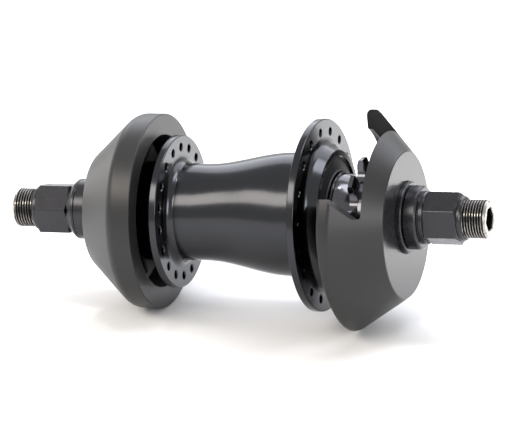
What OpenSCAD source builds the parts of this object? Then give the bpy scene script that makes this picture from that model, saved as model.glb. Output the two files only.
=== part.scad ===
// Freecoaster rear hub: hollow axle, shell on ball bearings, nine-tooth driver,
// screw-driven cone clutch with a friction drag, and two plastic flange guards.
// X runs along the axle towards the drive side, Z is up, and the origin is the
// middle of the axle. Angles are measured about the axle from -Y towards +Z.

/* [Axle] */
// Length of the axle from end to end
axle_length = 180; // [170:1:195]
// Outer diameter of the threaded axle ends
thread_d = 14; // [13:0.5:14.5]
// How far the ground middle of the axle stands proud of the thread
seat_step = 0.5; // [0.4:0.05:0.7]
// Diameter of the hole through the axle
axle_bore_d = 7.6; // [6:0.2:7.8]
// Size across the flats of the socket in the drive side end of the axle
socket_flats = 8; // [8:0.1:9]
// Depth of that socket
socket_depth = 10; // [6:0.5:14]
// Bevel at each end of the axle
axle_bevel = 1; // [0.4:0.1:1.5]

/* [Axle nuts and washers] */
// Size of an axle nut across its flats
nut_flats = 17; // [16.5:0.5:19]
// Length of the six-sided part of an axle nut
nut_length = 12.4; // [9:0.2:14]
// Length of the round nose on the outer end of an axle nut
nut_nose = 1.6; // [0.8:0.1:3]
// Diameter of the washer under the drive side nut
drive_washer_d = 22.8; // [20:0.2:25]
// Thickness of the washer under the drive side nut
drive_washer_w = 6.6; // [4:0.2:8]
// Diameter of the spacer between the drive side locknut and washer
drive_spacer_d = 25.6; // [24:0.2:27]
// Thickness of that drive side spacer
drive_spacer_w = 5.9; // [5:0.1:7]
// Diameter of the washer and of the spacer on the left side
left_washer_d = 21.8; // [20:0.2:24]
// Thickness of the washer under the left nut
left_washer_w = 3.5; // [2:0.1:5]
// Thickness of the spacer between the left locknut and washer
left_spacer_w = 9.5; // [6:0.1:11]
// Thickness of each locknut
locknut_w = 5; // [4:0.5:6]
// Length of the cone nut on the drive side
drive_cone_w = 4; // [3:0.2:6]
// Length of the cone nut on the left side
left_cone_w = 12; // [11:0.5:13]

/* [Shell] */
// Diameter of the drive side flange
drive_flange_d = 69; // [66:0.5:72]
// Diameter of the left flange
left_flange_d = 55; // [52:0.5:58]
// Thickness of each flange at its spoke holes
flange_w = 2.8; // [2.2:0.1:3.4]
// Distance from the middle of the axle to the inner face of the left flange
left_flange_x = 26.2; // [25:0.1:27.5]
// Distance from the rim of the drive flange to the middle of its spoke holes
drive_hole_inset = 4.5; // [3:0.1:5]
// Distance from the rim of the left flange to the middle of its spoke holes
left_hole_inset = 4.25; // [3:0.05:5]
// Number of spoke holes in each flange
spoke_count = 18; // [14:1:20]
// Diameter of a spoke hole
spoke_hole_d = 2.8; // [2.4:0.1:3.2]
// Wall of the barrel at its waist, near the left flange
waist_wall = 2.2; // [1.8:0.1:3]
// Wall of the barrel over the shell bearing
barrel_wall = 1.2; // [1:0.1:2]
// Length of the boss that stands out of the drive flange
lip_w = 4.9; // [4:0.1:5.5]
// Wall of that boss over the shell bearing
lip_wall = 2.6; // [2:0.1:3.5]
// Wall of the boss over the left bearing
left_boss_wall = 4; // [3:0.1:5]

/* [Bearings] */
// Radial height of the left bearing between its bore and its outside
left_bearing_h = 6.5; // [5.5:0.1:7]
// Width of the left bearing
left_bearing_w = 7; // [5.8:0.1:7.4]
// Distance from the middle of the axle to the inner face of the shell bearing
shell_bearing_x = 23.4; // [22.8:0.1:24]
// Radial height of the shell bearing between its bore and its outside
shell_bearing_h = 6; // [5.5:0.1:6.5]
// Width of the shell bearing
shell_bearing_w = 7; // [6:0.1:7.2]
// Radial height of the two driver bearings between bore and outside
driver_bearing_h = 4.5; // [4:0.1:5]
// Width of a driver bearing
driver_bearing_w = 5; // [4.6:0.1:5.4]
// Length of the tubes that part the two driver bearings
driver_bearing_gap = 14; // [13:0.1:14.6]

/* [Driver] */
// Number of teeth on the driver
teeth = 9; // [9:1:10]
// Pitch of the chain
chain_pitch = 12.7; // [12.5:0.1:12.8]
// Diameter of the chain's rollers
roller_d = 7.8; // [7.6:0.1:8]
// Thickness of the toothed disc
cog_w = 2.9; // [2.2:0.1:3.1]
// Distance from the middle of the axle to the middle of the teeth
chain_line = 43.7; // [42.6:0.1:44.4]
// Wall of the driver between its bearings and the shell bearing
driver_wall = 3; // [2.6:0.1:3.4]
// Wall of the driver beside its teeth
barrel_end_wall = 2.55; // [2:0.05:2.6]

/* [Clutch] */
// Axial travel of the driver's screw in one full turn
screw_lead = 20; // [16:1:26]
// Number of starts on the driver's screw
screw_starts = 5; // [4:1:5]
// Wall of the driver under the screw's thread
screw_wall = 1.75; // [1.4:0.05:2]
// Depth of the screw's thread
screw_depth = 1.6; // [1:0.1:1.8]
// Turn of the driver, in degrees, from free to engaged
slack_angle = 45; // [20:1:50]
// Half angle of the clutch cone, in degrees
cone_angle = 8; // [6:0.5:9]
// Length of the clutch
clutch_w = 11.5; // [10:0.1:11.8]
// Wall of the clutch over the screw's thread at its narrow end
clutch_wall = 2.4; // [2:0.1:2.6]
// Wall of the clutch ring at its wide end
ring_wall = 2; // [1.6:0.1:2.2]
// Number of slack shims
shim_count = 3; // [1:1:3]
// Thickness of one slack shim
shim_w = 0.5; // [0.2:0.05:0.5]

/* [Guards] */
// Outer diameter of the left guard's band
left_guard_d = 70.2; // [68:0.2:73]
// Outer diameter of the left guard's small end
left_guard_end_d = 41.4; // [38:0.2:44]
// Distance from the middle of the axle to the left guard's open rim
left_guard_rim_x = 33.4; // [31.5:0.1:35]
// Outer diameter of the drive guard's rim
drive_guard_d = 79; // [78:0.2:84]
// Diameter of the drive guard's flat end face
drive_guard_end_d = 52.4; // [50:0.2:56]
// Distance from the middle of the axle to the drive guard's open rim
drive_guard_rim_x = 40.1; // [39.4:0.1:40.4]
// How far the drive guard's end face stands out past the locknut
drive_guard_cover = 4; // [3.4:0.1:5]
// How far the left guard's end face stands out past the locknut
left_guard_cover = 2; // [1.4:0.1:4]
// Wall of the drive guard at its rim
drive_guard_wall = 5.4; // [4.6:0.1:7]
// Wall of the drive guard's cone
drive_cone_wall = 5.8; // [4.6:0.1:6.4]
// Wall of the left guard at its rim
left_guard_wall = 7.7; // [5.5:0.1:8.2]
// Mean width of the straight band round the drive guard's rim
band_w = 2.8; // [2:0.1:4.5]
// How far the drive guard's rim is off the axle's centre
rim_shift = 1.5; // [0:0.05:2.5]
// How far the drive guard's end face is off the axle's centre
face_shift = 2.8; // [1.5:0.1:4.5]
// Number of ribs inside the left guard
rib_count = 6; // [4:1:8]

/* [Hidden] */
$fn = 96;

// Clearances
seat_gap = 0.02;
thread_gap = 0.03;
run_gap = 0.35;
race_gap = 0.12;
cone_gap = 0.1;
face_gap = 0.1;

// Angles about the axle
view_tilt = 16;
guard_up = 90 + view_tilt;
left_nut_turn = 11.6;
drive_nut_turn = 30.3;
left_hole_turn = 19;
drive_hole_turn = 12;
cog_turn = guard_up - 14;

// Round sizes that follow from the axle outwards
seat_d = thread_d + 2 * seat_step;
left_bearing_d = seat_d + 2 * left_bearing_h;
driver_bearing_d = seat_d + 2 * driver_bearing_h;
shell_bearing_bore = driver_bearing_d + 2 * driver_wall;
shell_bearing_d = shell_bearing_bore + 2 * shell_bearing_h;
barrel_d = shell_bearing_d + 2 * barrel_wall;
lip_d = shell_bearing_d + 2 * lip_wall;
left_boss_d = left_bearing_d + 2 * left_boss_wall;
drive_pcd = drive_flange_d - 2 * drive_hole_inset;
left_pcd = left_flange_d - 2 * left_hole_inset;
cone_nose_d = seat_d + 2.8;
cone_flange_step = 5;
cone_flange_d = seat_d + 2 * cone_flange_step;
locknut_d = thread_d + 5;
locknut_flats = locknut_d - 2;

// Stack of parts along the axle
bearing_offset = 1.4;
driver_bearing_x = shell_bearing_x - bearing_offset;
outer_bearing_x = driver_bearing_x + driver_bearing_w + driver_bearing_gap;
outer_bearing_end = outer_bearing_x + driver_bearing_w;
cone_end_x = outer_bearing_end + drive_cone_w;
clamp_x = cone_end_x + locknut_w;
drive_washer_x = clamp_x + drive_spacer_w;
drive_nut_x = drive_washer_x + drive_washer_w;
left_washer_x = clamp_x + left_spacer_w;
left_nut_x = left_washer_x + left_washer_w;
left_bearing_x = cone_end_x - left_cone_w;
cone_flange_w = 1.8;
seat_inset = 0.5;

// Shell, from the left bearing to the drive side lip
left_bearing_end = left_bearing_x - left_bearing_w;
left_boss_x = left_bearing_x + 1.6;
clip_w = 1;
clip_depth = 0.9;
clip_room = 0.06;
lip_cover = 2.9;
lip_x = shell_bearing_x + shell_bearing_w + lip_cover;
drive_flange_x = lip_x - lip_w;
neck_step = 2;
fillet_r = 3;
edge_bevel = 0.5;
waist_run = 9.2;
waist_x = waist_run - left_flange_x;
swell_end = drive_flange_x - flange_w - 8.6;
barrel_steps = 10;

// Driver
pitch_r = chain_pitch / 2 / sin(180 / teeth);
cog_r = chain_pitch / 2 * (0.6 + 1 / tan(180 / teeth));
root_r = pitch_r - roller_d / 2 - 0.05;
barrel_r = driver_bearing_d / 2 + barrel_end_wall;
driver_end = outer_bearing_end + 1.6;
shoulder_x = shell_bearing_x + shell_bearing_w + face_gap;
shoulder_w = 1.2;
shoulder_r = shell_bearing_bore / 2 + 1.3;
screw_bore_r = seat_d / 2 + 1 + run_gap;
screw_d = 2 * (screw_bore_r + screw_wall + screw_depth);
outer_clip_x = shell_bearing_x - clip_room - clip_w;
clip_wall = 1.4;
shim_stop = outer_clip_x - clip_wall;

// Clutch: it rests against the shims and travels left to engage
travel = screw_lead * slack_angle / 360;
clutch_end = shim_stop - shim_count * shim_w - face_gap;
clutch_start = clutch_end - clutch_w;
clutch_r = screw_d / 2 + clutch_wall;
screw_root_r = screw_d / 2 - screw_depth;
screw_room = 0.25;
turn_room = 3.5;
lobe_half = 72 / screw_starts;
tip_half = lobe_half - 20 / screw_starts * 0.8;
lobe_steps = 3;
turn_step = 14;
slot_half = 14;
slot_depth = 6;
shim_r = shell_bearing_bore / 2 - 0.4;

// Clutch ring: its cone is touched when the clutch has travelled
cone_slope = tan(cone_angle);
ring_margin = 0.84;
ring_x = clutch_start - travel - ring_margin;
ring_end = shell_bearing_x - 4.8;
ring_bore_r = clutch_r + cone_gap - cone_slope * ring_margin;
ring_d = 2 * (ring_bore_r + cone_slope * (ring_end - ring_x) + ring_wall);
screw_end = ring_x - 1;

// Drag: a sleeve on the axle, a split shoe on it and a spring round the shoe
sleeve_d = seat_d + 5;
spacer_d = seat_d + 2;
shoe_end = ring_x - 3.5;
shoe_start = shoe_end - 9;
sleeve_end = shoe_end - 1;
shoe_d = sleeve_d + 6.4;
shoe_split = 2;
shoe_flange_w = 2;
prong_end = clutch_start + slot_depth - travel - run_gap;
prong_in_r = screw_d / 2 + 0.4;
prong_out_r = clutch_r - 0.4;
prong_half = 12;
drag_wire_d = 2;
drag_spring_x = shoe_end - 5.5;
cavity_start = shoe_start - 4;
cavity_d = 2 * clutch_r + 1.2;
waist_d = cavity_d + 2 * waist_wall;

// Guards
guard_bore_room = 0.1;
drive_face_x = clamp_x + drive_guard_cover;
left_face_x = clamp_x + left_guard_cover;
left_band_w = 8.1;
left_cone_x = left_guard_rim_x + left_band_w;
left_corner_r = 5;
guard_bevel = 1;
guard_floor_w = 4.5;
left_cavity_x = left_cone_x + 2;
left_cavity_end_r = left_guard_end_d / 2 - 1.3;
hub_tube_d = locknut_d + 8;
rib_w = 2;
rib_start = left_cavity_x + 1;
cone_spare = 9;
opening_low = 6;
opening_low_w = 1.2;
opening_floor = -0.9;
opening_floor_w = 2.6;
opening_x = drive_face_x - 6.6;
opening_back = 8;
opening_lean = 18;

// Puts a shape drawn along Z on the axle line, its base at x
module on_axle(x = 0) {
    translate([x, 0, 0]) rotate([90, 0, 90]) children();
}

// Turns a shape that is on the axle line so that its own X axis points at an angle
module turned_to(angle) {
    rotate([0, 0, 180 - angle]) children();
}

// A round solid whose outline is a list of [radius, distance along the axle]
module lathe(outline) {
    on_axle() rotate_extrude() polygon(outline);
}

// A plain ring between two places on the axle
module ring(x0, x1, inner_r, outer_r) {
    lathe([[inner_r, x0], [outer_r, x0], [outer_r, x1], [inner_r, x1]]);
}

// A plain disc between two places on the axle
module disc(x0, x1, r) {
    lathe([[0, x0], [r, x0], [r, x1], [0, x1]]);
}

// Axle and what is screwed on its ends

module axle() {
    color([0.1, 0.1, 0.11]) difference() {
        end = axle_length / 2;
        r = thread_d / 2;
        lathe([
            [0, -end], [r - axle_bevel, -end], [r, -end + axle_bevel],
            [r, -left_bearing_x + seat_inset], [seat_d / 2, -left_bearing_x + seat_inset],
            [seat_d / 2, outer_bearing_end - seat_inset], [r, outer_bearing_end - seat_inset],
            [r, end - axle_bevel], [r - axle_bevel, end], [0, end],
        ]);
        disc(-end - 1, end + 1, axle_bore_d / 2);
        on_axle(end - socket_depth)
            cylinder(d = socket_flats / cos(30), h = socket_depth + 1, $fn = 6);
    }
}

// A nut with its inner face at x, pointing towards the drive side or the left
module axle_nut(x, turn) {
    corner_r = nut_flats / sqrt(3);
    flat_r = nut_flats / 2;
    nose_r = flat_r - 0.4;
    inner_bevel = 0.3;
    outer_bevel = 0.6;
    color([0.1, 0.1, 0.11]) difference() {
        union() {
            intersection() {
                on_axle(x) turned_to(turn) cylinder(r = corner_r, h = nut_length, $fn = 6);
                lathe([
                    [0, x], [corner_r - 2 * inner_bevel, x], [corner_r, x + inner_bevel],
                    [corner_r, x + nut_length - outer_bevel],
                    [flat_r, x + nut_length], [0, x + nut_length],
                ]);
            }
            lathe([
                [0, x + nut_length - 1], [nose_r, x + nut_length - 1],
                [nose_r, x + nut_length + nut_nose / 2],
                [nose_r - nut_nose / 2, x + nut_length + nut_nose],
                [0, x + nut_length + nut_nose],
            ]);
        }
        disc(x - 1, x + nut_length + nut_nose + 1, thread_d / 2 + thread_gap);
    }
}

module drive_axle_nut() {
    axle_nut(drive_nut_x, drive_nut_turn);
}

module left_axle_nut() {
    mirror([1, 0, 0]) axle_nut(left_nut_x, left_nut_turn);
}

module drive_nut_washer() {
    r = drive_washer_d / 2;
    x = drive_washer_x;
    end = drive_nut_x;
    bore_r = thread_d / 2 + guard_bore_room;
    groove_r = r - 2;
    color([0.12, 0.12, 0.13]) lathe([
        [bore_r, x], [r - 0.5, x], [r, x + 0.5], [r, end - 2.4], [r - 0.6, end - 1.8],
        [groove_r, end - 1.8], [groove_r, end], [bore_r, end],
    ]);
}

module left_nut_washer() {
    r = left_washer_d / 2;
    x = left_washer_x;
    end = left_nut_x;
    bore_r = thread_d / 2 + guard_bore_room;
    color([0.12, 0.12, 0.13]) mirror([1, 0, 0]) lathe([
        [bore_r, x], [r, x], [r, x + 1], [nut_flats / 2 + 0.4, end], [bore_r, end],
    ]);
}

module drive_spacer() {
    r = drive_spacer_d / 2;
    color([0.08, 0.08, 0.09]) lathe([
        [thread_d / 2 + guard_bore_room, clamp_x], [r, clamp_x],
        [r, drive_washer_x - 0.6], [r - 0.6, drive_washer_x],
        [thread_d / 2 + guard_bore_room, drive_washer_x],
    ]);
}

module left_spacer() {
    color([0.08, 0.08, 0.09]) mirror([1, 0, 0])
        ring(clamp_x, left_washer_x, thread_d / 2 + guard_bore_room, left_washer_d / 2);
}

// A round locknut with two flats for a thin spanner
module locknut() {
    color([0.3, 0.3, 0.31]) intersection() {
        ring(cone_end_x, clamp_x, thread_d / 2 + thread_gap, locknut_d / 2);
        translate([cone_end_x, -locknut_d, -locknut_flats / 2])
            cube([locknut_w, 2 * locknut_d, locknut_flats]);
    }
}

module drive_locknut() {
    locknut();
}

module left_locknut() {
    mirror([1, 0, 0]) locknut();
}

// The cone nut that presses on a bearing's inner ring, whose face is at x
module bearing_cone(x) {
    bore_r = thread_d / 2 + thread_gap;
    flange_x = cone_end_x - cone_flange_w;
    color([0.35, 0.35, 0.36]) lathe([
        [bore_r, x], [cone_nose_d / 2, x], [cone_nose_d / 2, flange_x],
        [cone_flange_d / 2, flange_x], [cone_flange_d / 2, cone_end_x], [bore_r, cone_end_x],
    ]);
}

module drive_cone() {
    bearing_cone(outer_bearing_end);
}

module left_cone() {
    mirror([1, 0, 0]) bearing_cone(left_bearing_x);
}

// Guards

// The hole of a guard: narrow over the locknut, wide over the spacer
module guard_hole(spacer_d, face_x) {
    disc(cone_end_x - 1, clamp_x + 0.5, locknut_d / 2 + guard_bore_room);
    disc(clamp_x, face_x + 1, spacer_d / 2 + guard_bore_room);
}

// The tube in the middle of a guard that the cone's flange bears on
module guard_tube(face_x) {
    disc(cone_end_x, face_x, hub_tube_d / 2);
}

module left_guard_ribs() {
    for (i = [0 : rib_count - 1])
        on_axle(rib_start) turned_to(view_tilt + i * 360 / rib_count)
            translate([hub_tube_d / 2 - 0.5, -rib_w / 2, 0])
                cube([
                    (left_guard_d - hub_tube_d) / 2 - 2, rib_w, left_face_x - rib_start,
                ]);
}

// Points of the arc that rounds the corner between a cylinder of radius r and a
// cone of half angle slope that starts at x, both touched by a circle of size
function round_corner(r, x, slope, size, steps = 4) =
    let (middle = x - size * tan(slope / 2))
    [for (i = [0 : steps])
        let (a = slope * i / steps)
        [r - size * (1 - cos(a)), middle + size * sin(a)]
    ];

module left_guard() {
    band_r = left_guard_d / 2;
    end_r = left_guard_end_d / 2;
    rim = left_guard_rim_x;
    cavity_r = band_r - left_guard_wall;
    floor_x = left_face_x - guard_floor_w;
    slope = atan((band_r - end_r) / (left_face_x - left_cone_x));
    color([0.16, 0.16, 0.17]) mirror([1, 0, 0]) difference() {
        lathe(concat(
            [[0, rim], [band_r - guard_bevel, rim], [band_r, rim + guard_bevel]],
            round_corner(band_r, left_cone_x, slope, left_corner_r),
            [
                [end_r + guard_bevel / 2, left_face_x - guard_bevel / 2 / tan(slope)],
                [end_r - guard_bevel / 2, left_face_x], [0, left_face_x],
            ]
        ));
        difference() {
            lathe([
                [0, rim - 1], [cavity_r, rim - 1], [cavity_r, left_cavity_x],
                [left_cavity_end_r, floor_x], [0, floor_x],
            ]);
            guard_tube(left_face_x);
            left_guard_ribs();
        }
        guard_hole(left_washer_d, left_face_x);
    }
}

// Puts a shape in the drive guard's own frame: its X axis points away from the
// lowest point of the guard, its Y axis towards the chain opening's front
module in_drive_guard(x = 0) {
    on_axle(x) turned_to(guard_up) children();
}

// The slanted cone of the drive guard, moved inwards by inset
module slanted_cone(inset) {
    rim_r = drive_guard_d / 2;
    face_r = drive_guard_end_d / 2;
    cone_x = drive_guard_rim_x + band_w;
    run = drive_face_x - cone_x;
    slope = (rim_r - face_r) / run;
    lean = atan((face_shift - rim_shift) / run);
    side = inset / cos(atan(slope));
    in_drive_guard(cone_x) translate([-rim_shift, 0, 0]) rotate([0, -lean, 0])
        translate([0, 0, -cone_spare])
            cylinder(
                r1 = rim_r + slope * cone_spare - side,
                r2 = face_r - slope * cone_spare - side,
                h = run + 2 * cone_spare
            );
}

module drive_guard_outside() {
    r = drive_guard_d / 2;
    rim = drive_guard_rim_x;
    intersection() {
        in_drive_guard() translate([-rim_shift, 0, 0]) rotate_extrude() polygon([
            [0, rim], [r - guard_bevel, rim], [r, rim + guard_bevel],
            [r, drive_face_x], [0, drive_face_x],
        ]);
        slanted_cone(0);
    }
}

module drive_guard_inside() {
    r = drive_guard_d / 2 - drive_guard_wall;
    rim = drive_guard_rim_x;
    floor_x = drive_face_x - guard_floor_w;
    intersection() {
        in_drive_guard(rim - 1) translate([-rim_shift, 0, 0])
            cylinder(r = r, h = floor_x - rim + 1);
        slanted_cone(drive_cone_wall);
    }
}

// The opening for the chain: it cuts the wall from a stepped edge at the front
// to a leaning edge just behind the top
module chain_opening() {
    reach = drive_guard_d;
    start = drive_guard_rim_x - 1;
    intersection() {
        in_drive_guard() translate([0, reach, 0]) rotate([90, 0, 0])
            linear_extrude(2 * reach) polygon([
                [opening_low, start], [opening_low, drive_guard_rim_x + opening_low_w],
                [opening_floor, opening_x - opening_floor_w], [opening_floor, opening_x],
                [reach, opening_x], [reach, start],
            ]);
        in_drive_guard(start - 1)
            translate([drive_guard_d / 2 - rim_shift, -opening_back, 0])
                rotate([0, 0, opening_lean]) translate([-2 * reach, 0, 0])
                    cube([3 * reach, 3 * reach, opening_x - start + 2]);
    }
}

module drive_guard() {
    color([0.16, 0.16, 0.17]) difference() {
        drive_guard_outside();
        difference() {
            union() {
                drive_guard_inside();
                chain_opening();
            }
            guard_tube(drive_face_x);
        }
        guard_hole(drive_spacer_d, drive_face_x);
    }
}

// Tubes on the axle

module drag_sleeve() {
    color([0.6, 0.6, 0.62])
        ring(-left_bearing_end, sleeve_end, seat_d / 2 + seat_gap, sleeve_d / 2);
}

module inner_spacer() {
    color([0.6, 0.6, 0.62])
        ring(sleeve_end, driver_bearing_x, seat_d / 2 + seat_gap, spacer_d / 2);
}

module driver_bearing_inner_tube() {
    color([0.6, 0.6, 0.62])
        ring(
            driver_bearing_x + driver_bearing_w, outer_bearing_x,
            seat_d / 2 + seat_gap, spacer_d / 2
        );
}

// Ball bearings

function ball_r(bore, outer) = (outer - bore) / 2 * 0.3;
function ball_track_r(bore, outer) = (outer + bore) / 4;
function ball_count(bore, outer) =
    floor(180 / asin(0.85 * 2 * ball_r(bore, outer) / ball_track_r(bore, outer) * 0.95));

// The round groove that the balls run in
module race(x, bore, outer, width) {
    on_axle(x + width / 2) rotate_extrude()
        translate([ball_track_r(bore, outer), 0])
            circle(r = ball_r(bore, outer) + race_gap, $fn = 48);
}

module bearing_inner_ring(x, bore, outer, width) {
    land_r = ball_track_r(bore, outer) - ball_r(bore, outer) * 0.5;
    color([0.75, 0.75, 0.77]) difference() {
        ring(x, x + width, bore / 2 + seat_gap, land_r);
        race(x, bore, outer, width);
    }
}

module bearing_outer_ring(x, bore, outer, width) {
    land_r = ball_track_r(bore, outer) + ball_r(bore, outer) * 0.5;
    color([0.75, 0.75, 0.77]) difference() {
        ring(x, x + width, land_r, outer / 2 - seat_gap);
        race(x, bore, outer, width);
    }
}

module bearing_balls(x, bore, outer, width) {
    count = ball_count(bore, outer);
    color([0.85, 0.85, 0.87])
        for (i = [0 : count - 1])
            on_axle(x + width / 2) rotate([0, 0, i * 360 / count])
                translate([ball_track_r(bore, outer), 0, 0])
                    sphere(r = ball_r(bore, outer));
}

// The ring that keeps the balls apart, with a round pocket drilled for each
cage_margin = 0.3;

module bearing_cage(x, bore, outer, width) {
    count = ball_count(bore, outer);
    track_r = ball_track_r(bore, outer);
    r = ball_r(bore, outer);
    half_w = r + cage_margin;
    middle = x + width / 2;
    color([0.7, 0.55, 0.25]) difference() {
        ring(middle - half_w, middle + half_w, track_r - r * 0.3, track_r + r * 0.3);
        for (i = [0 : count - 1])
            on_axle(middle) rotate([0, 0, i * 360 / count])
                translate([track_r - r, 0, 0]) rotate([0, 90, 0])
                    cylinder(r = r + race_gap, h = 2 * r);
    }
}

// A seal disc fixed in the outer ring, with its lip clear of the inner ring
seal_w = 0.4;
seal_inset = 0.1;

module bearing_seal(x, bore, outer) {
    lip_r = ball_track_r(bore, outer) - ball_r(bore, outer) * 0.5 + 0.15;
    edge_r = ball_track_r(bore, outer) + ball_r(bore, outer) * 0.5 - seat_gap;
    color([0.06, 0.06, 0.06]) ring(x, x + seal_w, lip_r, edge_r);
}

// A sprung ring with a gap, in a groove of the bore or on a barrel
module circlip(x, inner_r, outer_r) {
    color([0.25, 0.25, 0.26]) difference() {
        ring(x, x + clip_w, inner_r, outer_r);
        translate([x - 1, -2, 0]) cube([clip_w + 2, 4, outer_r + 1]);
    }
}

// The groove that holds a circlip, a little wider than the clip
module clip_groove(x, inner_r, outer_r) {
    ring(x - clip_room / 2, x + clip_w + clip_room / 2, inner_r, outer_r);
}

// The bearings' places, each as inner face, bore, outer diameter and width
left_bearing = [-left_bearing_x, seat_d, left_bearing_d, left_bearing_w];
inner_driver_bearing = [driver_bearing_x, seat_d, driver_bearing_d, driver_bearing_w];
outer_driver_bearing = [outer_bearing_x, seat_d, driver_bearing_d, driver_bearing_w];
shell_bearing = [shell_bearing_x, shell_bearing_bore, shell_bearing_d, shell_bearing_w];

module left_bearing_inner_ring() {
    bearing_inner_ring(left_bearing[0], left_bearing[1], left_bearing[2], left_bearing[3]);
}

module left_bearing_outer_ring() {
    bearing_outer_ring(left_bearing[0], left_bearing[1], left_bearing[2], left_bearing[3]);
}

module left_bearing_balls() {
    bearing_balls(left_bearing[0], left_bearing[1], left_bearing[2], left_bearing[3]);
}

module left_bearing_cage() {
    bearing_cage(left_bearing[0], left_bearing[1], left_bearing[2], left_bearing[3]);
}

module left_bearing_seal() {
    bearing_seal(-left_bearing_x + seal_inset, seat_d, left_bearing_d);
}

module inner_driver_bearing_inner_ring() {
    b = inner_driver_bearing;
    bearing_inner_ring(b[0], b[1], b[2], b[3]);
}

module inner_driver_bearing_outer_ring() {
    b = inner_driver_bearing;
    bearing_outer_ring(b[0], b[1], b[2], b[3]);
}

module inner_driver_bearing_balls() {
    b = inner_driver_bearing;
    bearing_balls(b[0], b[1], b[2], b[3]);
}

module inner_driver_bearing_cage() {
    b = inner_driver_bearing;
    bearing_cage(b[0], b[1], b[2], b[3]);
}

module outer_driver_bearing_inner_ring() {
    b = outer_driver_bearing;
    bearing_inner_ring(b[0], b[1], b[2], b[3]);
}

module outer_driver_bearing_outer_ring() {
    b = outer_driver_bearing;
    bearing_outer_ring(b[0], b[1], b[2], b[3]);
}

module outer_driver_bearing_balls() {
    b = outer_driver_bearing;
    bearing_balls(b[0], b[1], b[2], b[3]);
}

module outer_driver_bearing_cage() {
    b = outer_driver_bearing;
    bearing_cage(b[0], b[1], b[2], b[3]);
}

module driver_bearing_seal() {
    bearing_seal(outer_bearing_end - seal_inset - seal_w, seat_d, driver_bearing_d);
}

module shell_bearing_inner_ring() {
    b = shell_bearing;
    bearing_inner_ring(b[0], b[1], b[2], b[3]);
}

module shell_bearing_outer_ring() {
    b = shell_bearing;
    bearing_outer_ring(b[0], b[1], b[2], b[3]);
}

module shell_bearing_balls() {
    b = shell_bearing;
    bearing_balls(b[0], b[1], b[2], b[3]);
}

module shell_bearing_cage() {
    b = shell_bearing;
    bearing_cage(b[0], b[1], b[2], b[3]);
}

module shell_bearing_seal() {
    x = shell_bearing_x + shell_bearing_w - seal_inset - seal_w;
    bearing_seal(x, shell_bearing_bore, shell_bearing_d);
}

// Shell

// The spoke holes of one flange
module spoke_holes(x, pcd, turn) {
    for (i = [0 : spoke_count - 1])
        on_axle(x - 1) turned_to(turn + i * 360 / spoke_count) translate([pcd / 2, 0, 0])
            cylinder(d = spoke_hole_d, h = flange_w + 2);
}

// Outline of the barrel: its waist is near the left flange and it swells
// smoothly to the drive flange
function swell(t) = (1 - cos(180 * t)) / 2;
barrel_outline = [
    for (i = [0 : barrel_steps])
        [
            (waist_d + (barrel_d - waist_d) * swell(i / barrel_steps)) / 2,
            waist_x + (swell_end - waist_x) * i / barrel_steps,
        ]
];

// A quarter fillet between a barrel of radius r and a face at x, on the side
// of the face that side gives
module face_fillet(r, x, side, size) {
    difference() {
        ring(min(x, x + side * size), max(x, x + side * size), r - 1, r + size);
        on_axle(x + side * size) rotate_extrude()
            translate([r + size, 0]) circle(r = size);
    }
}

module shell_outside() {
    left_outer = left_flange_x + flange_w;
    drive_inner = drive_flange_x - flange_w;
    boss_r = left_boss_d / 2;
    left_r = left_flange_d / 2;
    drive_r = drive_flange_d / 2;
    edge = edge_bevel;
    lathe(concat(
        [
            [0, -left_boss_x], [boss_r - 0.6, -left_boss_x], [boss_r, -left_boss_x + 0.6],
            [boss_r, -left_outer], [left_r - edge, -left_outer],
            [left_r, -left_outer + edge], [left_r, -left_flange_x - edge],
            [left_r - edge, -left_flange_x], [waist_d / 2, -left_flange_x],
        ],
        barrel_outline,
        [
            [barrel_d / 2, drive_inner], [drive_r - edge, drive_inner],
            [drive_r, drive_inner + edge], [drive_r, drive_flange_x - edge],
            [drive_r - edge, drive_flange_x], [lip_d / 2, drive_flange_x],
            [lip_d / 2, lip_x - 0.4], [lip_d / 2 - 0.4, lip_x], [0, lip_x],
        ]
    ));
    face_fillet(waist_d / 2, -left_flange_x, 1, fillet_r);
    face_fillet(barrel_d / 2, drive_inner, -1, fillet_r);
    face_fillet(lip_d / 2, drive_flange_x, 1, fillet_r);
}

module hub_shell() {
    left_clip_x = -left_bearing_x - clip_room - clip_w;
    drive_clip_x = shell_bearing_x + shell_bearing_w + clip_room;
    left_bore = left_bearing_d / 2;
    drive_bore = shell_bearing_d / 2;
    color([0.07, 0.07, 0.08]) difference() {
        shell_outside();
        disc(-left_boss_x - 1, -left_bearing_end, left_bore);
        clip_groove(left_clip_x, left_bore - 1, left_bore + clip_depth);
        disc(-left_bearing_end - 1, cavity_start + 1, left_bore - neck_step);
        disc(cavity_start, ring_x + 1, cavity_d / 2);
        disc(ring_x, shell_bearing_x + 1, ring_d / 2);
        disc(shell_bearing_x, lip_x + 1, drive_bore);
        clip_groove(drive_clip_x, drive_bore - 1, drive_bore + clip_depth);
        lathe([
            [0, lip_x - 0.8], [drive_bore, lip_x - 0.8], [drive_bore + 1.3, lip_x + 0.5],
            [0, lip_x + 0.5],
        ]);
        spoke_holes(-left_flange_x - flange_w, left_pcd, left_hole_turn);
        spoke_holes(drive_flange_x - flange_w, drive_pcd, drive_hole_turn);
    }
}

module left_bearing_circlip() {
    outer_r = left_bearing_d / 2 + clip_depth - 0.1;
    circlip(-left_bearing_x - clip_room - clip_w, outer_r - 2, outer_r);
}

module shell_bearing_circlip() {
    outer_r = shell_bearing_d / 2 + clip_depth - 0.1;
    circlip(shell_bearing_x + shell_bearing_w + clip_room, outer_r - 2.4, outer_r);
}

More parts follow.
